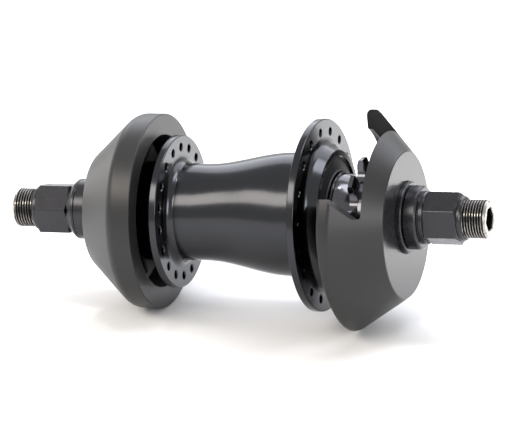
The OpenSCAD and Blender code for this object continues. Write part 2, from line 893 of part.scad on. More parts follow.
// The steel ring in the shell that the clutch cone grips
module clutch_ring() {
    outer_r = ring_d / 2 - seat_gap;
    color([0.55, 0.55, 0.57]) lathe([
        [ring_bore_r, ring_x], [outer_r, ring_x], [outer_r, ring_end],
        [ring_bore_r + cone_slope * (ring_end - ring_x), ring_end],
    ]);
}

// Driver

// Points of one screw section: lobes of half width tip at the top
function screw_points(low_r, high_r, low_half, high_half) = [
    for (i = [0 : screw_starts - 1])
        let (middle = i * 360 / screw_starts)
        for (j = [0 : 2 * lobe_steps + 1])
            let (
                on_top = j <= lobe_steps,
                k = on_top ? j : j - lobe_steps - 1,
                gap = 180 / screw_starts - low_half,
                a = on_top
                    ? middle - high_half + 2 * high_half * k / lobe_steps
                    : middle + low_half + 2 * gap * k / lobe_steps,
                r = on_top ? high_r : low_r
            )
            [r * cos(a), r * sin(a)]
];

// A length of screw from x0 to x1, with a left-hand thread in step with x = 0
module screw(x0, x1, low_r, high_r, low_half, high_half) {
    length = x1 - x0;
    twist = 360 * length / screw_lead;
    on_axle(x0) rotate([0, 0, -360 * x0 / screw_lead])
        linear_extrude(
            length, twist = twist, slices = ceil(twist / turn_step), segments = 0
        )
            polygon(screw_points(low_r, high_r, low_half, high_half));
}

module cog() {
    tooth_top = roller_d * 0.9;
    difference() {
        circle(r = cog_r);
        for (i = [0 : teeth - 1]) rotate([0, 0, (i + 0.5) * 360 / teeth]) {
            translate([pitch_r, 0]) circle(r = pitch_r - root_r);
            translate([pitch_r, 0]) polygon([
                [0, -roller_d / 2], [tooth_top, -roller_d * 0.68],
                [tooth_top, roller_d * 0.68], [0, roller_d / 2],
            ]);
        }
    }
}

module driver() {
    bore_r = driver_bearing_d / 2;
    seat_r = shell_bearing_bore / 2;
    cog_x = chain_line - cog_w / 2;
    bevel = 0.8;
    tooth_bevel = 0.7;
    tooth_bevel_h = 2;
    groove_x = shoulder_x + shoulder_w + 1;
    groove_w = 0.6;
    groove_depth = 0.4;
    clip_x = outer_bearing_end + clip_room;
    color([0.13, 0.13, 0.14]) difference() {
        union() {
            screw(
                screw_end, shim_stop + 0.5, screw_root_r, screw_d / 2, lobe_half, tip_half
            );
            lathe([
                [0, shim_stop], [seat_r, shim_stop], [seat_r, shoulder_x],
                [shoulder_r, shoulder_x], [shoulder_r, shoulder_x + shoulder_w],
                [barrel_r, shoulder_x + shoulder_w], [barrel_r, driver_end - bevel],
                [barrel_r - bevel, driver_end], [0, driver_end],
            ]);
            intersection() {
                on_axle(cog_x) turned_to(cog_turn) linear_extrude(cog_w) cog();
                lathe([
                    [0, cog_x], [cog_r - tooth_bevel_h, cog_x], [cog_r, cog_x + tooth_bevel],
                    [cog_r, cog_x + cog_w - tooth_bevel],
                    [cog_r - tooth_bevel_h, cog_x + cog_w], [0, cog_x + cog_w],
                ]);
            }
        }
        ring(groove_x, groove_x + groove_w, barrel_r - groove_depth, barrel_r + 1);
        disc(screw_end - 1, driver_bearing_x + 1, screw_bore_r);
        disc(driver_bearing_x, driver_end + 1, bore_r);
        clip_groove(clip_x, bore_r - 1, bore_r + clip_depth);
        clip_groove(outer_clip_x, seat_r - clip_depth, seat_r + 1);
    }
}

module driver_shell_circlip() {
    inner_r = shell_bearing_bore / 2 - clip_depth + 0.1;
    circlip(outer_clip_x, inner_r, inner_r + 2);
}

module driver_bearing_circlip() {
    outer_r = driver_bearing_d / 2 + clip_depth - 0.1;
    circlip(outer_bearing_end + clip_room, outer_r - 2, outer_r);
}

module driver_bearing_outer_tube() {
    outer_r = driver_bearing_d / 2 - seat_gap;
    color([0.6, 0.6, 0.62])
        ring(driver_bearing_x + driver_bearing_w, outer_bearing_x, outer_r - 1.1, outer_r);
}

module slack_shims() {
    color([0.7, 0.7, 0.72])
        for (i = [0 : shim_count - 1])
            ring(
                shim_stop - (i + 1) * shim_w + 0.02, shim_stop - i * shim_w - 0.02,
                screw_d / 2 + 0.15, shim_r
            );
}

// Clutch and drag

// A sector of a ring, as a prism on the axle line, centred on an angle
module sector(x0, x1, inner_r, outer_r, angle, half) {
    on_axle(x0) rotate([0, 0, 180 - angle - half])
        rotate_extrude(angle = 2 * half)
            polygon([
                [inner_r, 0], [outer_r, 0], [outer_r, x1 - x0], [inner_r, x1 - x0],
            ]);
}

module clutch() {
    bevel = 0.6;
    color([0.45, 0.45, 0.47]) difference() {
        lathe([
            [0, clutch_start], [clutch_r - bevel, clutch_start],
            [clutch_r + cone_slope * bevel, clutch_start + bevel],
            [clutch_r + cone_slope * clutch_w, clutch_end], [0, clutch_end],
        ]);
        screw(
            clutch_start - 1, clutch_end + 1, screw_root_r + screw_room,
            screw_d / 2 + screw_room, lobe_half + turn_room, tip_half + turn_room
        );
        for (side = [0, 180])
            sector(
                clutch_start - 1, clutch_start + slot_depth, screw_root_r - 1,
                clutch_r + 3, 90 + side, slot_half
            );
    }
}

module drag_shoe() {
    groove_r = shoe_d / 2 - 1;
    color([0.5, 0.42, 0.3]) difference() {
        union() {
            ring(shoe_start, shoe_end, sleeve_d / 2 + run_gap, shoe_d / 2);
            ring(
                shoe_end - shoe_flange_w, shoe_end, sleeve_d / 2 + run_gap, prong_out_r
            );
            for (side = [0, 180])
                sector(
                    shoe_end - 0.5, prong_end, prong_in_r, prong_out_r, 90 + side,
                    prong_half
                );
        }
        ring(
            drag_spring_x - drag_wire_d / 2 - 0.1, drag_spring_x + drag_wire_d / 2 + 0.1,
            groove_r, shoe_d / 2 + 1
        );
        translate([shoe_start - 1, -shoe_d, -shoe_split / 2])
            cube([shoe_end - shoe_start + 2, shoe_d, shoe_split]);
    }
}

// The wire ring that squeezes the shoe on its sleeve, open beside the split
module drag_spring() {
    wire_r = drag_wire_d / 2;
    color([0.8, 0.8, 0.82]) on_axle(drag_spring_x) rotate([0, 0, 200])
        rotate_extrude(angle = 320)
            translate([shoe_d / 2 - 1 + wire_r + 0.02, 0]) circle(r = wire_r, $fn = 32);
}

axle();
drive_axle_nut();
left_axle_nut();
drive_nut_washer();
left_nut_washer();
drive_spacer();
left_spacer();
drive_locknut();
left_locknut();
drive_cone();
left_cone();
drive_guard();
left_guard();
drag_sleeve();
inner_spacer();
driver_bearing_inner_tube();
left_bearing_inner_ring();
inner_driver_bearing_inner_ring();
outer_driver_bearing_inner_ring();
hub_shell();
left_bearing_outer_ring();
left_bearing_circlip();
left_bearing_seal();
clutch_ring();
shell_bearing_outer_ring();
shell_bearing_circlip();
shell_bearing_seal();
driver();
shell_bearing_inner_ring();
driver_shell_circlip();
inner_driver_bearing_outer_ring();
outer_driver_bearing_outer_ring();
driver_bearing_outer_tube();
driver_bearing_circlip();
driver_bearing_seal();
slack_shims();
drag_shoe();
drag_spring();
clutch();
left_bearing_balls();
left_bearing_cage();
inner_driver_bearing_balls();
inner_driver_bearing_cage();
outer_driver_bearing_balls();
outer_driver_bearing_cage();
shell_bearing_balls();
shell_bearing_cage();
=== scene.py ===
# A freecoaster rear hub lying on a pale studio floor, drive side to the right.
import math

import bmesh
import bpy
from mathutils import Matrix, Vector


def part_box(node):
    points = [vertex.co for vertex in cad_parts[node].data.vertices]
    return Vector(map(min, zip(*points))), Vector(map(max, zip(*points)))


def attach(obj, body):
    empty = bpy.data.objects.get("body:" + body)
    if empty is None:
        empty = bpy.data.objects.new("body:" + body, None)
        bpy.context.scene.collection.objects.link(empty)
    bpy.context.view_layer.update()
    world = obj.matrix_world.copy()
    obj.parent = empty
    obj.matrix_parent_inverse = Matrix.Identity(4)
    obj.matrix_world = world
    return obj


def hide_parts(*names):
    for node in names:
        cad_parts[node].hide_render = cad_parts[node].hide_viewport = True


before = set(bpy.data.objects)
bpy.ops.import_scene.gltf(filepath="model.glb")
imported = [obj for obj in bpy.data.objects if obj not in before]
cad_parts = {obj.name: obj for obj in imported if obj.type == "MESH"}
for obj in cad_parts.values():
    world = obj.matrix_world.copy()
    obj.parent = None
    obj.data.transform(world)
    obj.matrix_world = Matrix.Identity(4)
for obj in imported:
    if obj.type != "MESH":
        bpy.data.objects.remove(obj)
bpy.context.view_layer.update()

# Camera: it stands two metres off at the drive side front, a little above the
# hub, with a long lens. Its roll makes the hub lie as it does in the picture.
CAMERA_AZIMUTH = math.radians(21.0)
CAMERA_ELEVATION = math.radians(16.0)
CAMERA_ROLL = math.radians(-4.5)
CAMERA_DISTANCE = 2.058
CAMERA_AIM_RIGHT = 0.0014
CAMERA_AIM_UP = -0.0033
SENSOR_WIDTH_MM = 36
FOCUS_IN_PICTURE_WIDTHS = 11.244
CAMERA_REACH = 50

back = Vector((
    math.sin(CAMERA_AZIMUTH) * math.cos(CAMERA_ELEVATION),
    -math.cos(CAMERA_AZIMUTH) * math.cos(CAMERA_ELEVATION),
    math.sin(CAMERA_ELEVATION),
))
level_right = Vector((math.cos(CAMERA_AZIMUTH), math.sin(CAMERA_AZIMUTH), 0))
level_up = back.cross(level_right)
camera_right = level_right * math.cos(CAMERA_ROLL) + level_up * math.sin(CAMERA_ROLL)
camera_up = back.cross(camera_right)
camera_data = bpy.data.cameras.new("camera")
camera_data.sensor_fit = "HORIZONTAL"
camera_data.sensor_width = SENSOR_WIDTH_MM
camera_data.lens = SENSOR_WIDTH_MM * FOCUS_IN_PICTURE_WIDTHS
camera_data.clip_end = CAMERA_REACH
camera = bpy.data.objects.new("camera", camera_data)
bpy.context.scene.collection.objects.link(camera)
aim = level_right * CAMERA_AIM_RIGHT + level_up * CAMERA_AIM_UP
turn = Matrix((camera_right, camera_up, back)).transposed()
camera.matrix_world = (
    Matrix.Translation(aim + back * CAMERA_DISTANCE) @ turn.to_4x4()
)
bpy.context.scene.camera = camera

# Axle: a hollow steel bar, ground in the middle for the bearings, with an
# M14 thread of 1 mm pitch rolled on both ends and blackened. The nuts have
# worn the black off the thread crests and the bevelled ends.

# The sizes of all pieces are in millimetres, and MM turns them into metres.
MM = 0.001


def cad_ends(node):
    """Where a CAD node starts and ends along the axle, to a hundredth."""
    low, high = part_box(node)
    return round(low.x / MM, 2), round(high.x / MM, 2)


AXLE_END = cad_ends("axle")[1]
THREAD_R = 7.0
THREAD_DEPTH = 0.55
THREAD_PITCH = 1.0
THREAD_STEPS = 6
THREAD_CREST = 0.12
THREAD_FLANK = 0.72
WORN_DEPTH = 0.3
BARE_DEPTH = 0.04
WORN_END = 0.2
WORN_PATCH = 1.11
SEAT_R = 7.5
SEAT_LEFT = -37.5
SEAT_DRIVE = 45.5
AXLE_BEVEL = 1.0
AXLE_SIDES = 96
AXLE_BORE_R = 3.8
AXLE_BORE_BEVEL = 0.5
SOCKET_FLAT_R = 4.0
SOCKET_DEPTH = 10.0
SOCKET_BEVEL = 0.35
SOCKET_RUNOUT = 0.3
CREASE = 32
MERGE_WITHIN = 1e-7


def turned(name, outline_at, angles):
    """A solid round the axle. outline_at(angle) gives closed (x, r) points in
    millimetres, and angles, in radians, run from -Y towards +Z."""
    verts = []
    for angle in angles:
        for x, r in outline_at(angle):
            verts.append((x * MM, -r * MM * math.cos(angle), r * MM * math.sin(angle)))
    rows = len(angles)
    count = len(verts) // rows
    faces = []
    for i in range(rows):
        this, following = i * count, (i + 1) % rows * count
        for j in range(count):
            k = (j + 1) % count
            faces.append((this + j, following + j, following + k, this + k))
    mesh = bpy.data.meshes.new(name)
    mesh.from_pydata(verts, [], faces)
    return finished(name, mesh)


def finished(name, mesh):
    """Links a mesh as a piece, its normals outwards and its edges crisp."""
    shape = bmesh.new()
    shape.from_mesh(mesh)
    bmesh.ops.remove_doubles(shape, verts=shape.verts, dist=MERGE_WITHIN)
    bmesh.ops.recalc_face_normals(shape, faces=shape.faces)
    shape.to_mesh(mesh)
    shape.free()
    mesh.shade_smooth()
    mesh.set_sharp_from_angle(angle=math.radians(CREASE))
    piece = bpy.data.objects.new(name, mesh)
    bpy.context.scene.collection.objects.link(piece)
    return piece


def even_angles(steps):
    """Angles in equal steps round the axle, in radians."""
    return [2 * math.pi * i / steps for i in range(steps)]


def linear(code):
    """The linear colour of an sRGB hex code."""
    values = [int(code[i:i + 2], 16) / 255 for i in (1, 3, 5)]
    return [
        v / 12.92 if v <= 0.04045 else ((v + 0.055) / 1.055) ** 2.4 for v in values
    ] + [1.0]


def add_node(tree, kind, settings=(), links=()):
    """Adds a node, with its settings by name and its inputs linked."""
    node = tree.nodes.new(kind)
    for name, value in dict(settings).items():
        if isinstance(name, str) and hasattr(node, name):
            setattr(node, name, value)
        else:
            node.inputs[name].default_value = value
    for name, source in dict(links).items():
        tree.links.new(source, node.inputs[name])
    return node


def new_material(name):
    """A material, its node tree, its main shader and the place on the piece."""
    material = bpy.data.materials.new(name)
    material.use_nodes = True
    tree = material.node_tree
    shader = tree.nodes["Principled BSDF"]
    place = add_node(tree, "ShaderNodeTexCoord").outputs["Object"]
    return material, tree, shader, place


def rides(piece, body, slot, material, *nodes):
    """Dresses a piece, sets what it moves with and the CAD nodes it stands for."""
    piece.data.materials.clear()
    piece.data.materials.append(material)
    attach(piece, body)
    if nodes:
        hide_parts(*nodes)


def radius_and_x(tree, place):
    """A socket with the distance from the axle's line, and one with x."""
    axes = add_node(tree, "ShaderNodeSeparateXYZ", links={"Vector": place})
    flat = add_node(tree, "ShaderNodeCombineXYZ", links={
        "Y": axes.outputs["Y"], "Z": axes.outputs["Z"],
    })
    length = add_node(
        tree, "ShaderNodeVectorMath", {"operation": "LENGTH"}, {0: flat.outputs[0]}
    )
    return length.outputs["Value"], axes.outputs["X"]


def pattern_scale(grain):
    """The scale of a pattern whose grain has a size in millimetres."""
    return 1 / (grain * MM)


def blackened_thread_steel():
    """Black oxide on rolled steel: dark flanks, bare bright crests and ends."""
    material, tree, shader, place = new_material("blackened_thread_steel")
    radius, x = radius_and_x(tree, place)
    crest = add_node(tree, "ShaderNodeMapRange", {
        "From Min": (THREAD_R - WORN_DEPTH) * MM,
        "From Max": (THREAD_R - BARE_DEPTH) * MM,
    }, {"Value": radius})
    along = add_node(tree, "ShaderNodeMath", {"operation": "ABSOLUTE"}, {0: x})
    tip = add_node(tree, "ShaderNodeMapRange", {
        "From Min": (AXLE_END - AXLE_BEVEL - WORN_END) * MM,
        "From Max": (AXLE_END - AXLE_BEVEL + WORN_END) * MM,
    }, {"Value": along.outputs[0]})
    wear = add_node(tree, "ShaderNodeTexNoise", {
        "Scale": pattern_scale(WORN_PATCH), "Detail": 4, "Roughness": 0.6,
    }, {"Vector": place})
    bare = add_node(tree, "ShaderNodeMath", {"operation": "MAXIMUM"}, {
        0: crest.outputs[0], 1: tip.outputs[0],
    })
    bare = add_node(tree, "ShaderNodeMath", {"operation": "MULTIPLY"}, {
        0: bare.outputs[0], 1: wear.outputs["Fac"],
    })
    bare = add_node(tree, "ShaderNodeMapRange", {
        "From Min": 0.25, "From Max": 0.5,
    }, {"Value": bare.outputs[0]})
    colour = add_node(tree, "ShaderNodeMix", {
        "data_type": "RGBA", 6: linear("#29292b"), 7: linear("#b4b0aa"),
    }, {0: bare.outputs[0]})
    tree.links.new(colour.outputs[2], shader.inputs["Base Color"])
    shader.inputs["Metallic"].default_value = 1.0
    rough = add_node(tree, "ShaderNodeMapRange", {
        "To Min": 0.42, "To Max": 0.24,
    }, {"Value": bare.outputs[0]})
    tree.links.new(rough.outputs[0], shader.inputs["Roughness"])
    return material


def thread_r(x, angle):
    """Radius of the thread at a place: a trapezoid that climbs once a turn."""
    phase = (x / THREAD_PITCH + angle / (2 * math.pi)) % 1
    ramp = abs(phase - 0.5) * 2
    depth = min(1, max(0, (ramp - THREAD_CREST) / THREAD_FLANK))
    limit = THREAD_R - max(0, abs(x) - (AXLE_END - AXLE_BEVEL))
    return min(limit, THREAD_R - THREAD_DEPTH * depth)


def six_sided(flat_r, angle, turn=0.0):
    """Radius of a six-sided outline at an angle."""
    side = math.pi / 3
    return flat_r / math.cos((angle - turn) % side - side / 2)


def thread_stations(start, end):
    """Places along a thread, close enough to show each of its turns."""
    count = round((end - start) / THREAD_PITCH * THREAD_STEPS)
    return [start + (end - start) * i / count for i in range(count + 1)]


left_thread = thread_stations(-AXLE_END, SEAT_LEFT)
drive_thread = thread_stations(SEAT_DRIVE, AXLE_END)


def axle_outline(angle):
    """The axle's section: threads, the ground seat, the bore and the socket."""
    socket_r = six_sided(SOCKET_FLAT_R, angle)
    points = [
        (-AXLE_END, AXLE_BORE_R + AXLE_BORE_BEVEL), (-AXLE_END, THREAD_R - AXLE_BEVEL),
    ]
    points += [(x, thread_r(x, angle)) for x in left_thread[1:-1]]
    points += [
        (SEAT_LEFT, THREAD_R), (SEAT_LEFT, SEAT_R), (SEAT_DRIVE, SEAT_R),
        (SEAT_DRIVE, THREAD_R),
    ]
    points += [(x, thread_r(x, angle)) for x in drive_thread[1:-1]]
    points += [
        (AXLE_END, THREAD_R - AXLE_BEVEL), (AXLE_END, socket_r + SOCKET_BEVEL),
        (AXLE_END - SOCKET_BEVEL, socket_r), (AXLE_END - SOCKET_DEPTH, socket_r),
        (AXLE_END - SOCKET_DEPTH - SOCKET_RUNOUT, AXLE_BORE_R),
        (-AXLE_END + AXLE_BORE_BEVEL, AXLE_BORE_R),
    ]
    return points


axle = turned("threaded_axle", axle_outline, even_angles(AXLE_SIDES))
rides(axle, "axle_set", "black_steel", blackened_thread_steel(), "axle")

# Tubes, cones and locknuts on the axle: turned from steel and aluminium bar
# and left bright. They are clamped between the two locknuts and fill the hub.
TOOL_MARK = 0.154


def turned_bright_metal(name, code, roughness):
    """Bare metal off the lathe: bright, with fine rings round the axle."""
    material, tree, shader, place = new_material(name)
    shader.inputs["Base Color"].default_value = linear(code)
    shader.inputs["Metallic"].default_value = 1.0
    radius, x = radius_and_x(tree, place)
    ring = add_node(tree, "ShaderNodeMath", {"operation": "ADD"}, {0: radius, 1: x})
    tool = add_node(tree, "ShaderNodeTexNoise", {
        "noise_dimensions": "1D", "Scale": pattern_scale(TOOL_MARK), "Detail": 2,
    }, {"W": ring.outputs[0]})
    rough = add_node(tree, "ShaderNodeMapRange", {
        "To Min": roughness - 0.06, "To Max": roughness + 0.08,
    }, {"Value": tool.outputs["Fac"]})
    tree.links.new(rough.outputs[0], shader.inputs["Roughness"])
    bump = add_node(tree, "ShaderNodeBump", {
        "Strength": 0.25, "Distance": 0.01 * MM,
    }, {"Height": tool.outputs["Fac"]})
    tree.links.new(bump.outputs[0], shader.inputs["Normal"])
    return material


def dress_node(material, *nodes):
    """Gives CAD nodes whose shape is right their finish."""
    for node in nodes:
        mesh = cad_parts[node].data
        mesh.materials.clear()
        mesh.materials.append(material)


turned_steel = turned_bright_metal("turned_steel", "#9a9a9c", 0.3)
turned_aluminium = turned_bright_metal("turned_aluminium", "#c6c7c9", 0.34)
dress_node(
    turned_steel, "drive_cone", "left_cone", "drive_locknut", "left_locknut",
    "clutch", "clutch_ring", "slack_shims", "drag_spring",
)
dress_node(
    turned_aluminium, "drag_sleeve", "inner_spacer", "driver_bearing_inner_tube",
    "driver_bearing_outer_tube",
)

# Drag shoe: a split bronze bush with two prongs, squeezed on the sleeve by a
# wire ring. Bronze wears well on steel without oil.
bronze = turned_bright_metal("turned_bronze", "#a27c4c", 0.36)
dress_node(bronze, "drag_shoe")

# Ball bearings and circlips: ground and polished hard steel rings and balls,
# brass cages, black nitrile seals, and dark blued spring clips in grooves.
TEMPER_PATCH = 3.33
RUBBER_GRAIN = 0.2


def blued_spring_steel():
    """Spring steel, tempered blue-black, smooth from the press."""
    material, tree, shader, place = new_material("blued_spring_steel")
    shader.inputs["Metallic"].default_value = 1.0
    temper = add_node(tree, "ShaderNodeTexNoise", {
        "Scale": pattern_scale(TEMPER_PATCH), "Detail": 3,
    }, {"Vector": place})
    colour = add_node(tree, "ShaderNodeMix", {
        "data_type": "RGBA", 6: linear("#47474c"), 7: linear("#6d6d72"),
    }, {0: temper.outputs["Fac"]})
    tree.links.new(colour.outputs[2], shader.inputs["Base Color"])
    shader.inputs["Roughness"].default_value = 0.26
    return material


def nitrile_rubber():
    """Moulded black rubber: a dull sheen and a matt grain, drawn a little
    coarser than it is, so that it shows."""
    material, tree, shader, place = new_material("nitrile_rubber")
    shader.inputs["Base Color"].default_value = linear("#1c1c1e")
    shader.inputs["Roughness"].default_value = 0.5
    shader.inputs["IOR"].default_value = 1.52
    grain = add_node(tree, "ShaderNodeTexNoise", {
        "Scale": pattern_scale(RUBBER_GRAIN), "Detail": 2,
    }, {"Vector": place})
    bump = add_node(tree, "ShaderNodeBump", {
        "Strength": 0.3, "Distance": 0.02 * MM,
    }, {"Height": grain.outputs["Fac"]})
    tree.links.new(bump.outputs[0], shader.inputs["Normal"])
    return material


bearing_steel = turned_bright_metal("ground_bearing_steel", "#c4c5c8", 0.16)
brass = turned_bright_metal("pressed_brass", "#c9a25a", 0.3)
bearings = (
    "left_bearing", "shell_bearing", "inner_driver_bearing", "outer_driver_bearing"
)
for bearing in bearings:
    dress_node(bearing_steel, bearing + "_inner_ring", bearing + "_outer_ring")
    dress_node(bearing_steel, bearing + "_balls")
    dress_node(brass, bearing + "_cage")
dress_node(
    blued_spring_steel(), "left_bearing_circlip", "shell_bearing_circlip",
    "driver_shell_circlip", "driver_bearing_circlip",
)
seal_rubber = nitrile_rubber()
dress_node(seal_rubber, "left_bearing_seal", "driver_bearing_seal")

# Shell: one piece of forged aluminium, turned to a smooth waisted barrel with
# two thin flanges, drilled for 36 spokes, polished and then anodised black.
FINE_ARC = 5
FILLET_SHARE = 0.49
TINY = 1e-6
SHELL_SIDES = 180
LEFT_FLANGE_X = -26.2
LEFT_FLANGE_R = 27.5
DRIVE_FLANGE_X = 28.4
DRIVE_FLANGE_R = 34.5
FLANGE_W = 2.8
FLANGE_EDGE = 0.45
BARREL_FILLET = 3.0
LEFT_BOSS_X, LIP_X = cad_ends("hub_shell")
LEFT_BOSS_R = 18.0
LEFT_MOUTH_R = 14.3
LEFT_MOUTH_EDGE = 0.2
LEFT_BOSS_EDGE = 0.6
LEFT_BOSS_FILLET = 0.8
WAIST_R = 17.4
BARREL_R = 22.2
WAIST_X = -17.0
SWELL_END_X = 17.0
SWELL_STEPS = 24
BOSS_FOOT_R = 28.1
BOSS_SWEEP_R = 3.6
BOSS_SWEEP_TURN = math.radians(62)
BOSS_STEPS = 10
LIP_R = 23.4
LIP_BORE_R = 21.0
LIP_BEVEL = 0.3
LIP_EDGE = 0.3
BORE_EDGE = 0.05
SHELL_BORE = (
    (31.6, 21.0), (31.6, 21.9), (30.4, 21.9), (30.4, 21.0), (23.4, 21.0), (23.4, 18.6),
    (4.5, 18.6), (4.5, 15.2), (-12.0, 15.2), (-12.0, 12.0), (-31.0, 12.0),
    (-31.0, 14.0), (-38.0, 14.0), (-38.0, 14.9), (-39.1, 14.9), (-39.1, 14.0),
)
SPOKE_COUNT = 18
SPOKE_HOLE_R = 1.4
SPOKE_HOLE_SIDES = 20
HOLE_BEVEL = 0.35
CUTTER_EXTRA = 1
LEFT_HOLES_R = 23.25
DRIVE_HOLES_R = 30.0
LEFT_HOLES_TURN = 19
DRIVE_HOLES_TURN = 12
POLISH_HAZE = 2.22
LATHE_LINE = 0.25


def arc_corners(corners, steps=4):
    """The (x, r) points of a closed outline whose corners are (x, r, fillet)."""
    points = []
    count = len(corners)
    for i, (x, r, fillet) in enumerate(corners):
        here = Vector((x, r))
        before = Vector(corners[i - 1][:2]) - here
        after = Vector(corners[(i + 1) % count][:2]) - here
        if fillet == 0 or before.length < TINY or after.length < TINY:
            points.append((x, r))
            continue
        before_length, after_length = before.length, after.length
        before.normalize()
        after.normalize()
        half = before.angle(after) / 2
        reach = fillet / math.tan(half)
        limit = FILLET_SHARE * min(before_length, after_length)
        if reach > limit:
            fillet *= limit / reach
            reach = limit
        centre = here + (before + after).normalized() * (fillet / math.sin(half))
        start = here + before * reach - centre
        end = here + after * reach - centre
        sweep = start.angle_signed(end)
        first = math.atan2(start.y, start.x)
        for k in range(steps + 1):
            a = first - sweep * k / steps
            points.append((
                centre.x + fillet * math.cos(a), centre.y + fillet * math.sin(a)
            ))
    return points


def piece_from(name, shape):
    """Links what a bmesh holds as a piece."""
    mesh = bpy.data.meshes.new(name)
    shape.to_mesh(mesh)
    shape.free()
    return finished(name, mesh)


def evened(piece, crease=CREASE):
    """Keeps a piece's flats flat and its creases crisp in smooth shading."""
    piece.data.shade_smooth()
    piece.data.set_sharp_from_angle(angle=math.radians(crease))
    piece.modifiers.new("even_shading", "WEIGHTED_NORMAL").keep_sharp = True
    return piece


def shell_corners():
    """The shell's section: outside from left to right, and the bore back. The
    bore holds the bearings, the clutch's room and two grooves for circlips."""
    swell = []
    for i in range(SWELL_STEPS + 1):
        t = i / SWELL_STEPS
        r = WAIST_R + (BARREL_R - WAIST_R) * (1 - math.cos(math.pi * t)) / 2
        swell.append((WAIST_X + (SWELL_END_X - WAIST_X) * t, r, 0))
    left_outer = LEFT_FLANGE_X - FLANGE_W
    drive_inner = DRIVE_FLANGE_X - FLANGE_W
    boss = []
    for i in range(BOSS_STEPS + 1):
        a = BOSS_SWEEP_TURN * i / BOSS_STEPS
        boss.append((
            DRIVE_FLANGE_X + BOSS_SWEEP_R * (1 - math.cos(a)),
            BOSS_FOOT_R - BOSS_SWEEP_R * math.sin(a), 0,
        ))
    return [
        (LEFT_BOSS_X, LEFT_MOUTH_R, LEFT_MOUTH_EDGE),
        (LEFT_BOSS_X, LEFT_BOSS_R, LEFT_BOSS_EDGE),
        (left_outer, LEFT_BOSS_R, LEFT_BOSS_FILLET),
        (left_outer, LEFT_FLANGE_R, FLANGE_EDGE),
        (LEFT_FLANGE_X, LEFT_FLANGE_R, FLANGE_EDGE),
        (LEFT_FLANGE_X, WAIST_R, BARREL_FILLET),
    ] + swell + [
        (drive_inner, BARREL_R, BARREL_FILLET),
        (drive_inner, DRIVE_FLANGE_R, FLANGE_EDGE),
        (DRIVE_FLANGE_X, DRIVE_FLANGE_R, FLANGE_EDGE),
    ] + boss + [
        (LIP_X, LIP_R, LIP_EDGE), (LIP_X, LIP_BORE_R + LIP_BEVEL, BORE_EDGE),
        (LIP_X - LIP_BEVEL, LIP_BORE_R, BORE_EDGE),
    ] + [(x, r, 0) for x, r in SHELL_BORE]


def combine(piece, operation, other):
    """Cuts another mesh out of a piece or joins it on, as plain mesh."""
    step = piece.modifiers.new("combine", "BOOLEAN")
    step.operation = operation
    step.solver = "EXACT"
    step.object = other
    applied(piece)
    bpy.data.objects.remove(other)


def applied(piece):
    """Turns a piece's modifiers into mesh."""
    graph = bpy.context.evaluated_depsgraph_get()
    mesh = bpy.data.meshes.new_from_object(piece.evaluated_get(graph))
    piece.modifiers.clear()
    piece.data = mesh


def hole_cutter(name, x0, x1, circle_r, turn):
    """Bevelled drills for the spoke holes of the flange between x0 and x1."""
    sides = SPOKE_HOLE_SIDES
    wide_r = SPOKE_HOLE_R + HOLE_BEVEL + CUTTER_EXTRA
    profile = [
        (x0 - CUTTER_EXTRA, wide_r), (x0 + HOLE_BEVEL, SPOKE_HOLE_R),
        (x1 - HOLE_BEVEL, SPOKE_HOLE_R), (x1 + CUTTER_EXTRA, wide_r),
    ]
    shape = bmesh.new()
    for hole in range(SPOKE_COUNT):
        angle = math.radians(turn + hole * 360 / SPOKE_COUNT)
        y, z = -circle_r * math.cos(angle), circle_r * math.sin(angle)
        rings = []
        for x, r in profile:
            rings.append([
                shape.verts.new((
                    x * MM,
                    (y + r * math.cos(2 * math.pi * k / sides)) * MM,
                    (z + r * math.sin(2 * math.pi * k / sides)) * MM,
                )) for k in range(sides)
            ])
        for low, high in zip(rings, rings[1:]):
            for k in range(sides):
                n = (k + 1) % sides
                shape.faces.new((low[k], low[n], high[n], high[k]))
        shape.faces.new(rings[0][::-1])
        shape.faces.new(rings[-1])
    return piece_from(name, shape)


def anodised_aluminium():
    """Polished, then anodised black: deep, mirror-like but slightly hazy."""
    material, tree, shader, place = new_material("black_anodised_aluminium")
    shader.inputs["Base Color"].default_value = linear("#404144")
    shader.inputs["Metallic"].default_value = 1.0
    polish = add_node(tree, "ShaderNodeTexNoise", {
        "Scale": pattern_scale(POLISH_HAZE), "Detail": 4,
    }, {"Vector": place})
    rough = add_node(tree, "ShaderNodeMapRange", {
        "To Min": 0.14, "To Max": 0.22,
    }, {"Value": polish.outputs["Fac"]})
    tree.links.new(rough.outputs[0], shader.inputs["Roughness"])
    axes = add_node(tree, "ShaderNodeSeparateXYZ", links={"Vector": place})
    lathe = add_node(tree, "ShaderNodeTexNoise", {
        "noise_dimensions": "1D", "Scale": pattern_scale(LATHE_LINE), "Detail": 1,
    }, {"W": axes.outputs["X"]})
    bump = add_node(tree, "ShaderNodeBump", {
        "Strength": 0.12, "Distance": 0.004 * MM,
    }, {"Height": lathe.outputs["Fac"]})
    tree.links.new(bump.outputs[0], shader.inputs["Normal"])
    return material


shell_outline = arc_corners(shell_corners(), FINE_ARC)
shell = turned(
    "drilled_hub_shell", lambda angle: shell_outline, even_angles(SHELL_SIDES)
)
combine(shell, "DIFFERENCE", hole_cutter(
    "left_drills", LEFT_FLANGE_X - FLANGE_W, LEFT_FLANGE_X, LEFT_HOLES_R,
    LEFT_HOLES_TURN
))
combine(shell, "DIFFERENCE", hole_cutter(
    "drive_drills", DRIVE_FLANGE_X - FLANGE_W, DRIVE_FLANGE_X, DRIVE_HOLES_R,
    DRIVE_HOLES_TURN
))
rides(evened(shell), "shell", "shell_alloy", anodised_aluminium(), "hub_shell")

